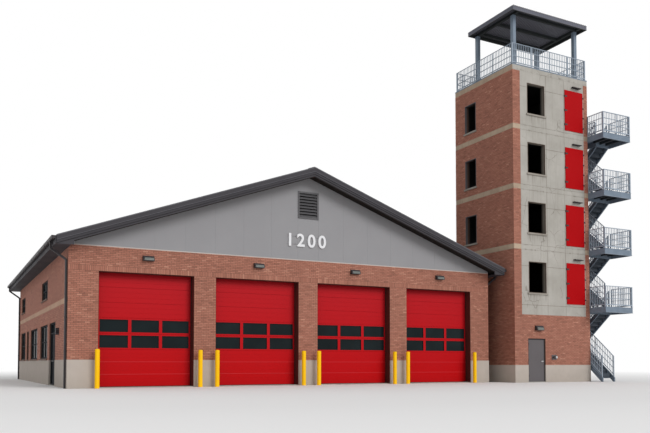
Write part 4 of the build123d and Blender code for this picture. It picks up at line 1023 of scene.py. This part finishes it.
edges, soffitsAndShadowLines = [], []
boardFoot = roof["apexUnder"] - board["drop"]
for end, turn, wall in ((roof["near"], -1, front), (roof["far"], 1, rear)):
    face = end + turn * roof["trim"]
    for out, heights in drips["rows"]:
        low, high = (roof["apexTop"] + height for height in heights)
        edges += rakeStrips(face - turn * drips["into"], face + turn * out, low, high)
    low, high = (roof["apexUnder"] + height for height in soffit["tall"])
    soffitsAndShadowLines += rakeStrips(face - turn * soffit["lap"], wall + turn * soffit["lap"], low, high)
    # a painted shadow line: a dark strip along the foot of each barge board
    face = end + turn * board["thick"]
    low, high = (boardFoot + height for height in board["strip"])
    near, far = face - turn * board["into"], face + turn * board["proud"]
    soffitsAndShadowLines += rakeStrips(near, far, low, high, half - board["return"])
# the drip edges' lighter grey is partly a painted highlight
addPiece("roof_drip_edges", edges, "trimEdge")
addPiece("rake_soffits_and_shadow_lines", soffitsAndShadowLines, "darkSoffit")

# Straps round the gutters, with a bar over each, and straps on the downspouts
gutter = {"out": 10.425, "tall": (5.355, 5.475), "first": 0.35, "every": 0.9}
strap = {"wide": 0.03, "into": 0.006, "proud": 0.005, "wrap": 0.004}
bar = {"reach": (0.125, 0.003), "tall": (-0.006, 0.003)}
spout = {"y": 9.075, "straps": (1.35, 2.6, 3.85), "half": 0.056, "reach": (0.001, 0.101), "tall": 0.035}
straps = []
for turn in (-1, 1):
    out = turn * gutter["out"]
    low, high = grown(gutter["tall"], strap["wrap"])
    foot, top = (gutter["tall"][1] + height for height in bar["tall"])
    far, near = (out - turn * reach for reach in bar["reach"])
    for y in np.arange(roof["near"] + gutter["first"], roof["far"], gutter["every"]):
        end = y + strap["wide"]
        straps.append(boxes((out - turn * strap["into"], y, low), (out + turn * strap["proud"], end, high)))
        straps.append(boxes((far, y, foot), (near, end, top)))
    one, two = (turn * (half + reach) for reach in spout["reach"])
    for y in (-spout["y"], spout["y"]):
        a, b = grown((y, y), spout["half"])
        straps += [boxes((one, a, z), (two, b, z + spout["tall"])) for z in spout["straps"]]
addPiece("gutter_straps", straps, "bronzeMetal")
print("roof shingled")

# Lamp lenses: the upright foot of each lamp's front and the lower part of the slope above, under a dark hood
lamp = {
    "hall": (4.84, 0.43, 0.19),  # foot, width and height of the lamps over the bays
    "door": (2.52, 0.45, 0.24),
    "doorAside": 0.11,
    "reach": 0.17,
    "toe": 0.35,
    "top": 0.55,
    "slope": (0.02, 0.38),
    "foot": 0.12,
    "margins": (0.05, 0.03),
    "sunk": 0.004,
    "proud": 0.006,
}
lamps = [(left + hall["bayWidth"] / 2, front, *lamp["hall"]) for left in hall["bayLefts"]]
lamps.append((sum(tower["door"]) / 2 + lamp["doorAside"], tower["front"], *lamp["door"]))
lenses = []
for x, y, low, wide, high in lamps:
    a, b = x - wide / 2 + lamp["margins"][0], x + wide / 2 - lamp["margins"][1]
    toe = np.array((y - lamp["reach"], low + lamp["toe"] * high))
    run = np.array((y - lamp["top"] * lamp["reach"], low + high)) - toe
    away = np.array((-run[1], run[0])) / np.linalg.norm(run)
    points, faces = boxes((a, lamp["slope"][0], -lamp["sunk"]), (b, lamp["slope"][1], lamp["proud"]))
    spot = toe + points[:, 1:2] * run + points[:, 2:] * away
    lenses.append((np.column_stack([points[:, 0], spot]), faces))
    near, far = toe[0] - lamp["proud"], toe[0] + lamp["sunk"]
    lenses.append(boxes((a, near, low + lamp["foot"] * high), (b, far, toe[1])))
addPiece("lamp_lenses", lenses, "lampLens")
lantern = {"reach": (0.002, 0.138), "y": (-7.128, -6.972), "rims": (2.07, 2.24), "tall": 0.022}
(near, far), (one, two) = lantern["y"], (-half - reach for reach in lantern["reach"])
rims = [boxes((one, near, z), (two, far, z + lantern["tall"])) for z in lantern["rims"]]
addPiece("lantern_rims", rims, "trimEdge")

# Railing infill: upright rods between the level rails, set in from the platforms' edges as the rails are
infill = {"pitch": 0.115, "radius": 0.015, "low": 0.1, "high": 1.03, "slopeFirst": 0.05, "slopeShare": 0.92}
inset = {"deck": 0.06, "deckEnd": 0.04, "deckCorner": 0.084, "rail": 0.02, "corner": 0.044, "gap": 0.004}


def uprights(start, end, base):
    # rods standing on a line from one point of the ground plan to another
    start, end = np.array(start, float), np.array(end, float)
    count = max(1, round(np.linalg.norm(end - start) / infill["pitch"]))
    feet = start + (end - start) * (np.arange(count)[:, None] + 0.5) / count
    low, high = (np.column_stack([feet, np.full(count, base + infill[key])]) for key in ("low", "high"))
    return rods(low, high, infill["radius"])


(x0, x1), (y0, y1) = grown(towerX, -inset["deckEnd"]), grown(towerY, -inset["deckCorner"])
deckRails = [uprights((x0, y), (x1, y), deckTop) for y in grown(towerY, -inset["deck"])]
deckRails += [uprights((x, y0), (x, y1), deckTop) for x in grown(towerX, -inset["deck"])]
addPiece("deck_rail_rods", deckRails, "railSteel")
angle = {"out": 0.012, "down": 0.05, "up": 0.006}
angles = []
for side, (plane, span) in towerWalls.items():
    start, end = spanOn(side, *grown(span, angle["out"] * (span == towerX)))
    strip = boxes((start, deckTop - angle["down"], 0), (end, deckTop + angle["up"], angle["out"]))
    angles.append(onWall(side, plane, strip))
addPiece("deck_edge_angles", angles, "stairSteel")

inner, outer, split = tower["right"], stair["outer"], stair["split"]
rail, turned, clear = inset["rail"], inset["corner"], inset["gap"]
near, far, top = stair["landingNear"], stair["landingFar"], levels[-1]
innerRail, outerRail, wallEnd = inner + rail, outer - rail, tower["front"] - clear
landingRails = []
for level in levels:
    landingRails.append(uprights((inner, near + rail), (outer, near + rail), level))
    landingRails.append(uprights((outerRail, near + turned), (outerRail, far), level))
    landingRails.append(uprights((innerRail, near + turned), (innerRail, wallEnd), level))
landingRails.append(uprights((split - rail, far + clear), (split - rail, stair["topStep"] - turned), top))
y = stair["topStep"] - rail
landingRails.append(uprights((inner + clear, y), (split, y), top))
near, far = stair["restNear"], stair["restFar"]
for rest in stair["rests"]:
    landingRails.append(uprights((inner + clear, far - rail), (outer, far - rail), rest))
    landingRails.append(uprights((outerRail, near + clear), (outerRail, far - turned), rest))
addPiece("landing_rail_rods", landingRails, "railSteel")

# Flights, each from its head downwards: direction, head place and height, riser, risers, lane and its rails
(lowRiser, riser), (groundSteps, steps) = stair["risers"], stair["riserCounts"]
innerRails = (stair["lane"] - stair["railEdge"],)
bothRails = (*innerRails, stair["railEdge"])
innerLane, outerLane, far = stair["innerLane"], stair["outerLane"], stair["landingFar"]
groundRest, *rests = stair["rests"]
flights = [(1, far, levels[0], lowRiser, steps, outerLane, bothRails)]
flights += [(1, far, level, riser, steps, outerLane, bothRails) for level in levels[1:]]
flights.append((-1, stair["groundHead"], groundRest, lowRiser, groundSteps, innerLane, bothRails))
flights += [(-1, stair["backHead"], rest, riser, steps, innerLane, innerRails) for rest in rests]
tread = {
    "bars": 8,
    "barEnds": (0.006, 0.011),
    "bar": 0.005,
    "barDeep": 0.032,
    "rods": 7,
    "rodMargin": 0.05,
    "rodHalf": 0.003,
    "rodEnd": 0.004,
    "rodDeep": (-0.014, -0.002),
    "side": 0.006,
    "sideEnd": 0.002,
    "sideDeep": 0.04,
    "nose": 0.028,
    "noseBack": 0.002,
    "noseDeep": (-0.03, 0.002),
}
kick = {"reach": (0.004, 0.01), "lap": 0.01, "headDrop": 0.045, "clear": 0.006}
slopeRods, bars, kicks = [], [], []
for turn, headY, headZ, riser, risers, lane, places in flights:
    run, fall = (risers - 1) * stair["going"], (risers - 1) * riser
    count = round(run / infill["pitch"])
    share = infill["slopeFirst"] + infill["slopeShare"] * (np.arange(count) + 0.5) / count
    for place in places:
        feet = np.full(count, lane + place), headY + turn * share * run, headZ - share * fall
        low, high = (np.stack(feet, axis=1) + (0, 0, infill[end]) for end in ("low", "high"))
        slopeRods.append(rods(low, high, infill["radius"]))
    a, b = lane + stair["stringer"], lane + stair["lane"] - stair["stringer"]
    for n in range(1, risers):
        back, nose = (headY + turn * step * stair["going"] for step in (n - 1, n))
        near, far, top = min(back, nose), max(back, nose), headZ - n * riser
        for y in np.linspace(near + tread["barEnds"][0], far - tread["barEnds"][1], tread["bars"]):
            bars.append(boxes((a, y, top - tread["barDeep"]), (b, y + tread["bar"], top)))
        one, two = grown((near, far), -tread["rodEnd"])
        low, high = (top + deep for deep in tread["rodDeep"])
        for x in np.linspace(*grown((a, b), -tread["rodMargin"]), tread["rods"]):
            start, end = grown((x, x), tread["rodHalf"])
            bars.append(boxes((start, one, low), (end, two, high)))
        one, two = grown((near, far), -tread["sideEnd"])
        for x in (a, b - tread["side"]):
            bars.append(boxes((x, one, top - tread["sideDeep"]), (x + tread["side"], two, top)))
        nose -= turn * tread["noseBack"]
        low, high = (top + deep for deep in tread["noseDeep"])
        bars.append(boxes((a, nose, low), (b, nose - turn * tread["nose"], high)))
        one, two = (back + turn * reach for reach in kick["reach"])
        upper = min(headZ - kick["headDrop"], top + riser - kick["clear"])
        kicks.append(boxes((a, one, top - kick["lap"]), (b, two, upper)))
addPiece("flight_rail_rods", slopeRods, "railSteel")
# treads and risers darker partly as painted shade
addPiece("tread_gratings", bars, "deckSteel", replaces=["stair_treads"])
addPiece("riser_plates", kicks, "deckSteel")

# Channel flanges on the rims of the landings, raised strips on their plates, joists in the hollow below, dark
# as painted shade
rim = {"tall": 0.024, "out": 0.01, "wall": 0.02}
grip = {"pitch": 0.09, "wide": 0.012, "deep": (-0.002, 0.004), "margins": (0.05, 0.02), "clear": (0.06, 0.04)}
joist = {
    "sheet": 0.04,
    "rim": 0.058,
    "deep": 0.13,
    "wide": 0.06,
    "count": 4,
    "margins": (0.2, 0.26),
    "plate": (-0.006, 0.002),
    "gap": 0.004,
}
rims, grips, beams = [], [], []


def rimStrips(low, high, top):
    # two flange strips over one stretch of a platform's edge, given as two corners on the ground
    for under in (top - rim["tall"], top - stair["depth"]):
        rims.append(boxes((*low, under), (*high, under + rim["tall"])))


def gripStrips(low, high, top):
    # narrow strips across a platform's plate, one at each pitch, standing a little proud of it
    below, above = (top + deep for deep in grip["deep"])
    for x in np.arange(low[0] + grip["margins"][0], high[0] - grip["margins"][1], grip["pitch"]):
        grips.append(boxes((x, low[1], below), (x + grip["wide"], high[1], above)))


def joists(low, high, top):
    # a plate and evenly placed joists in the hollow under a platform's sheet, both dark as painted shade
    under = top - joist["sheet"]
    below, above = (under + deep for deep in joist["plate"])
    beams.append(boxes((*low, below), (*high, above)))
    for x in np.linspace(low[0] + joist["margins"][0], high[0] - joist["margins"][1], joist["count"]):
        foot, end = under - joist["deep"], x + joist["wide"]
        beams.append(boxes((x, low[1], foot), (end, high[1], under - joist["gap"])))


edge = inner + rim["wall"]
platforms = [(stair["landingNear"], stair["landingFar"], level, -1) for level in levels]
platforms += [(stair["restNear"], stair["restFar"], rest, 1) for rest in stair["rests"]]
for near, far, top, turn in platforms:
    rail = near if turn < 0 else far
    rimStrips((edge, rail), (outer + rim["out"], rail + turn * rim["out"]), top)
    rimStrips((outer, near), (outer + rim["out"], far), top)
    clear = grip["clear"][::-turn]
    gripStrips((edge, near + clear[0]), (outer - grip["clear"][0], far - clear[1]), top)
    joists((inner + joist["rim"], near + joist["rim"]), (outer - joist["rim"], far - joist["rim"]), top)
# the rims' lighter steel is a painted highlight
addPiece("landing_rims", rims, "rimSteel")
addPiece("landing_grips", grips, "stairSteel")
addPiece("landing_joists", beams, "darkSteel")
print("stair detailed")

# Canopy: ribs of the roof sheet above and below and along its front edge, lighter than the sheet as a painted
# highlight, drip edges and a fascia
canopy = {"x": (10.355, 15.265), "y": (-10.555, -7.155), "top": 18.22, "under": 18.0}
rib = {
    "pitch": 0.122,
    "wide": 0.06,
    "margins": (0.03, 0.06),
    "narrow": 0.55,
    "over": 0.004,
    "deep": (-0.002, 0.024),
    "inset": 0.06,
    "lowDeep": (-0.062, -0.038),
    "frontIn": 0.012,
    "frontDeep": (-0.008, 0.001),
    "frontTall": (0.012, -0.03),
}
dripEdge = {"low": 0.016, "top": (-0.03, -0.012), "gap": 0.001}
(x0, x1), (y0, y1), top, under = canopy["x"], canopy["y"], canopy["top"], canopy["under"]
ribs = []
for x in np.arange(x0 + rib["margins"][0], x1 - rib["margins"][1], rib["pitch"]):
    end, middle = x + rib["wide"], x + rib["wide"] / 2
    low, high = (top + deep for deep in rib["deep"])
    points, faces = boxes((x, y0 - rib["over"], low), (end, y1, high))
    points[:, 0] = middle + (points[:, 0] - middle) * np.where(points[:, 2] > top, rib["narrow"], 1.0)
    ribs.append((points, faces))
    (near, far), (low, high) = grown((y0, y1), -rib["inset"]), (top + deep for deep in rib["lowDeep"])
    ribs.append(boxes((x, near, low), (end, far, high)))
    (a, b), (near, far) = grown((x, end), -rib["frontIn"]), (y0 + deep for deep in rib["frontDeep"])
    ribs.append(boxes((a, near, under + rib["frontTall"][0]), (b, far, top + rib["frontTall"][1])))
addPiece("canopy_ribs", ribs, "canopyRib")


def skirt(low, high, into, out, frontOut, past):
    # four strips round the canopy between two heights, from inside its faces to outside, two of them longer
    return [
        boxes((x0 - past, y0 - frontOut, low), (x1 + past, y0 + into, high)),
        boxes((x0 - past, y1 - into, low), (x1 + past, y1 + out, high)),
        boxes((x0 - out, y0, low), (x0 + into, y1, high)),
        boxes((x1 - into, y0, low), (x1 + out, y1, high)),
    ]


def edgeSkirt(low, high):
    # one of the two drip edges, a little wider than the canopy all round
    return skirt(low, high, into=0.001, out=0.01, frontOut=0.012, past=0.01)


lowTop, (topFoot, topHead) = under + dripEdge["low"], (top + height for height in dripEdge["top"])
addPiece("canopy_edges", edgeSkirt(under, lowTop) + edgeSkirt(topFoot, topHead), "trimEdge")
low, high = lowTop + dripEdge["gap"], topFoot - dripEdge["gap"]
fascia = skirt(low, high, into=0.002, out=0.004, frontOut=0.004, past=0.0)
addPiece("canopy_fascia", fascia, "canopyFascia")

# Steel edges in the tower windows and a grey lining in the side openings
edging = {"wide": 0.03, "out": 0.012, "deep": -0.02, "liningDeep": -0.11}
frames, liners = [], []


def windowRing(side, opening, sill, high, deep):
    # bars round one opening of the tower, from a depth behind the wall's face to a little in front of it
    plane = towerWalls[side][0]
    bars = ring(*spanOn(side, *tower[opening]), sill, sill + high, edging["wide"], deep, edging["out"])
    return onWall(side, plane, gathered(bars))


for level in levels:
    sill = level + tower["windowSill"]
    frames.append(windowRing("front", "window", sill, tower["windowHigh"], edging["deep"]))
    sill = level + tower["sideSill"]
    liners.append(windowRing("rear", "rearWindow", sill, tower["sideHigh"], edging["liningDeep"]))
    if level > levels[0]:
        liners.append(windowRing("left", "sideWindow", sill, tower["sideHigh"], edging["liningDeep"]))
addPiece("tower_window_frames", frames, "edgeSteel")
addPiece("tower_side_linings", liners, "greyDoor")

# Hose connection: one dark and one bright cap, each with four grip lugs
hose = {"x": 13.04, "z": 1.22, "apart": 0.075, "out": 0.105}
cap = {"radius": 0.06, "half": 0.012, "sides": 16, "lug": 0.008, "lugHalf": 0.02}
for turn, name, finish in ((-1, "hose_cap_left", "bronzeMetal"), (1, "hose_cap_right", "brightMetal")):
    spot = np.array((hose["x"] + turn * hose["apart"], tower["front"] - hose["out"], hose["z"]))
    caps = [rods(spot - (0, cap["half"], 0), spot + (0, cap["half"], 0), cap["radius"], cap["sides"])]
    for angle in np.arange(4) * math.pi / 2 + math.pi / 4:
        lug = spot + cap["radius"] * np.array((math.cos(angle), 0, math.sin(angle)))
        caps.append(rods(lug - (0, cap["lugHalf"], 0), lug + (0, cap["lugHalf"], 0), cap["lug"]))
    addPiece(name, caps, finish)

# Bright levers riding on both doors: a rose and a flat lever on the leaf's face, pointing towards the hinge
handle = {"height": 1.02, "half": 0.012, "length": 0.145, "reach": (0.041, 0.063)}
rose = {"radius": 0.031, "deep": (-0.002, 0.014), "sides": 16}
leaves = {"tower_door": ("front", -10.215, 12.334, -1), "side_door": ("left", -9.705, 5.084, 1)}
for body, (side, plane, along, turn) in leaves.items():
    (foot, top), (near, far) = rose["deep"], handle["reach"]
    low, high = grown((handle["height"],) * 2, handle["half"])
    points, faces = rods((0, 0, foot), (0, 0, top), rose["radius"], rose["sides"])
    one, two = along - turn * handle["half"], along + turn * handle["length"]
    shapes = [(points + (along, handle["height"], 0), faces), boxes((one, low, near), (two, high, far))]
    addPiece(f"{body}_lever", shapes, "brightMetal", (side, plane), body=body, bevel=0.003)

# Strap plates under the shutters' hinges, bolts and keepers at their other edge
hingePlate = {"places": (0.15, 0.5, 0.85), "long": 0.16, "half": 0.04, "deep": (0.04, 0.048)}
bolt = {"places": (0.12, 0.38, 0.62, 0.88), "along": (-0.03, 0.05), "half": 0.03, "deep": (0.04, 0.052)}
keeper = {"along": (0.044, 0.062), "half": 0.034, "deep": (0.001, 0.052)}
left, right = tower["shutter"]
plates = []


def plateOn(start, end, middle, sizes):
    # a flat plate on the wall, reaching as far above its middle as below
    (low, high), (near, far) = grown((middle, middle), sizes["half"]), sizes["deep"]
    plates.append(boxes((start, low, near), (end, high, far)))


for level in levels:
    low, high = level + tower["shutterLow"], tower["shutterHigh"]
    for share in hingePlate["places"]:
        plateOn(left, left + hingePlate["long"], low + share * high, hingePlate)
    for share in bolt["places"]:
        for sizes in (bolt, keeper):
            plateOn(*[right + edge for edge in sizes["along"]], low + share * high, sizes)
addPiece("shutter_plates", plates, "bronzeMetal", ("front", tower["front"]), bevel=0.002)
print("tower fitted")

# Soft light from the sky, which looks white, and a broad sun from the street side
light = {"sky": 0.62, "sun": 1.45, "from": (0.3, -0.84, 0.46), "soft": 30.0}
world = bpy.data.worlds.new("studio")
bpy.context.scene.world = world
sky = Nodes(world)
white = (1.0, 1.0, 1.0, 1.0)
strengths = (light["sky"], 1.0)
dim, bright = (sky.node("ShaderNodeBackground", {}, {"Color": white, "Strength": one}) for one in strengths)
rays = [sky.node("ShaderNodeLightPath", out=f"Is {ray} Ray") for ray in ("Camera", "Glossy", "Transmission")]
looked = rays[0].join("MAXIMUM", rays[1]).join("MAXIMUM", rays[2])
sky.show(sky.node("ShaderNodeMixShader", {}, [looked, dim, bright]))
sun = bpy.data.lights.new("sun", "SUN")
sun.energy = light["sun"]
sun.angle = math.radians(light["soft"])
sunPlace = bpy.data.objects.new("sun", sun)
bpy.context.scene.collection.objects.link(sunPlace)
sunPlace.rotation_euler = Vector(light["from"]).to_track_quat("Z", "Y").to_euler()

# A pale floor that fades to white away from the building
studio = {"half": 400.0, "drop": 0.002, "fade": (24.0, 60.0), "tone": (236, 236, 236)}
ground = bpy.data.meshes.new("studio_floor")
corners = [(-1, -1), (1, -1), (1, 1), (-1, 1)]
places = [(x * studio["half"], y * studio["half"], -studio["drop"]) for x, y in corners]
ground.from_pydata(places, [], [(0, 1, 2, 3)])
floor = bpy.data.objects.new("studio_floor", ground)
bpy.context.scene.collection.objects.link(floor)
paint = Finish("studioFloor")
ground.materials.append(paint.coat(rgb(*studio["tone"]), 0.9))
distance = paint.node("ShaderNodeVectorMath", {"operation": "LENGTH"}, [paint.place()], out=1)
fade = paint.rise(distance, *studio["fade"]) * paint.node("ShaderNodeLightPath", out="Is Camera Ray")
glow = paint.node("ShaderNodeEmission", {}, {"Strength": 1.0})
paint.show(paint.node("ShaderNodeMixShader", {}, [fade, Sock(paint, paint.shader.outputs[0]), glow]))

# Camera where the photograph was taken from
eye = {
    "place": (-13.804, -37.335, 0.922),
    "turn": (92.219, 0.0, -27.492),
    "lens": 40.788,
    "sensor": 36.0,
    "rise": 0.182,
    "farthest": 2000.0,
}
lens = bpy.data.cameras.new("camera")
lens.lens = eye["lens"]
lens.sensor_width = eye["sensor"]
lens.shift_y = eye["rise"]
lens.clip_end = eye["farthest"]
camera = bpy.data.objects.new("camera", lens)
bpy.context.scene.collection.objects.link(camera)
camera.location = eye["place"]
camera.rotation_euler = [math.radians(angle) for angle in eye["turn"]]
bpy.context.scene.camera = camera
bpy.context.scene.view_settings.view_transform = "Standard"
print("scene lit")
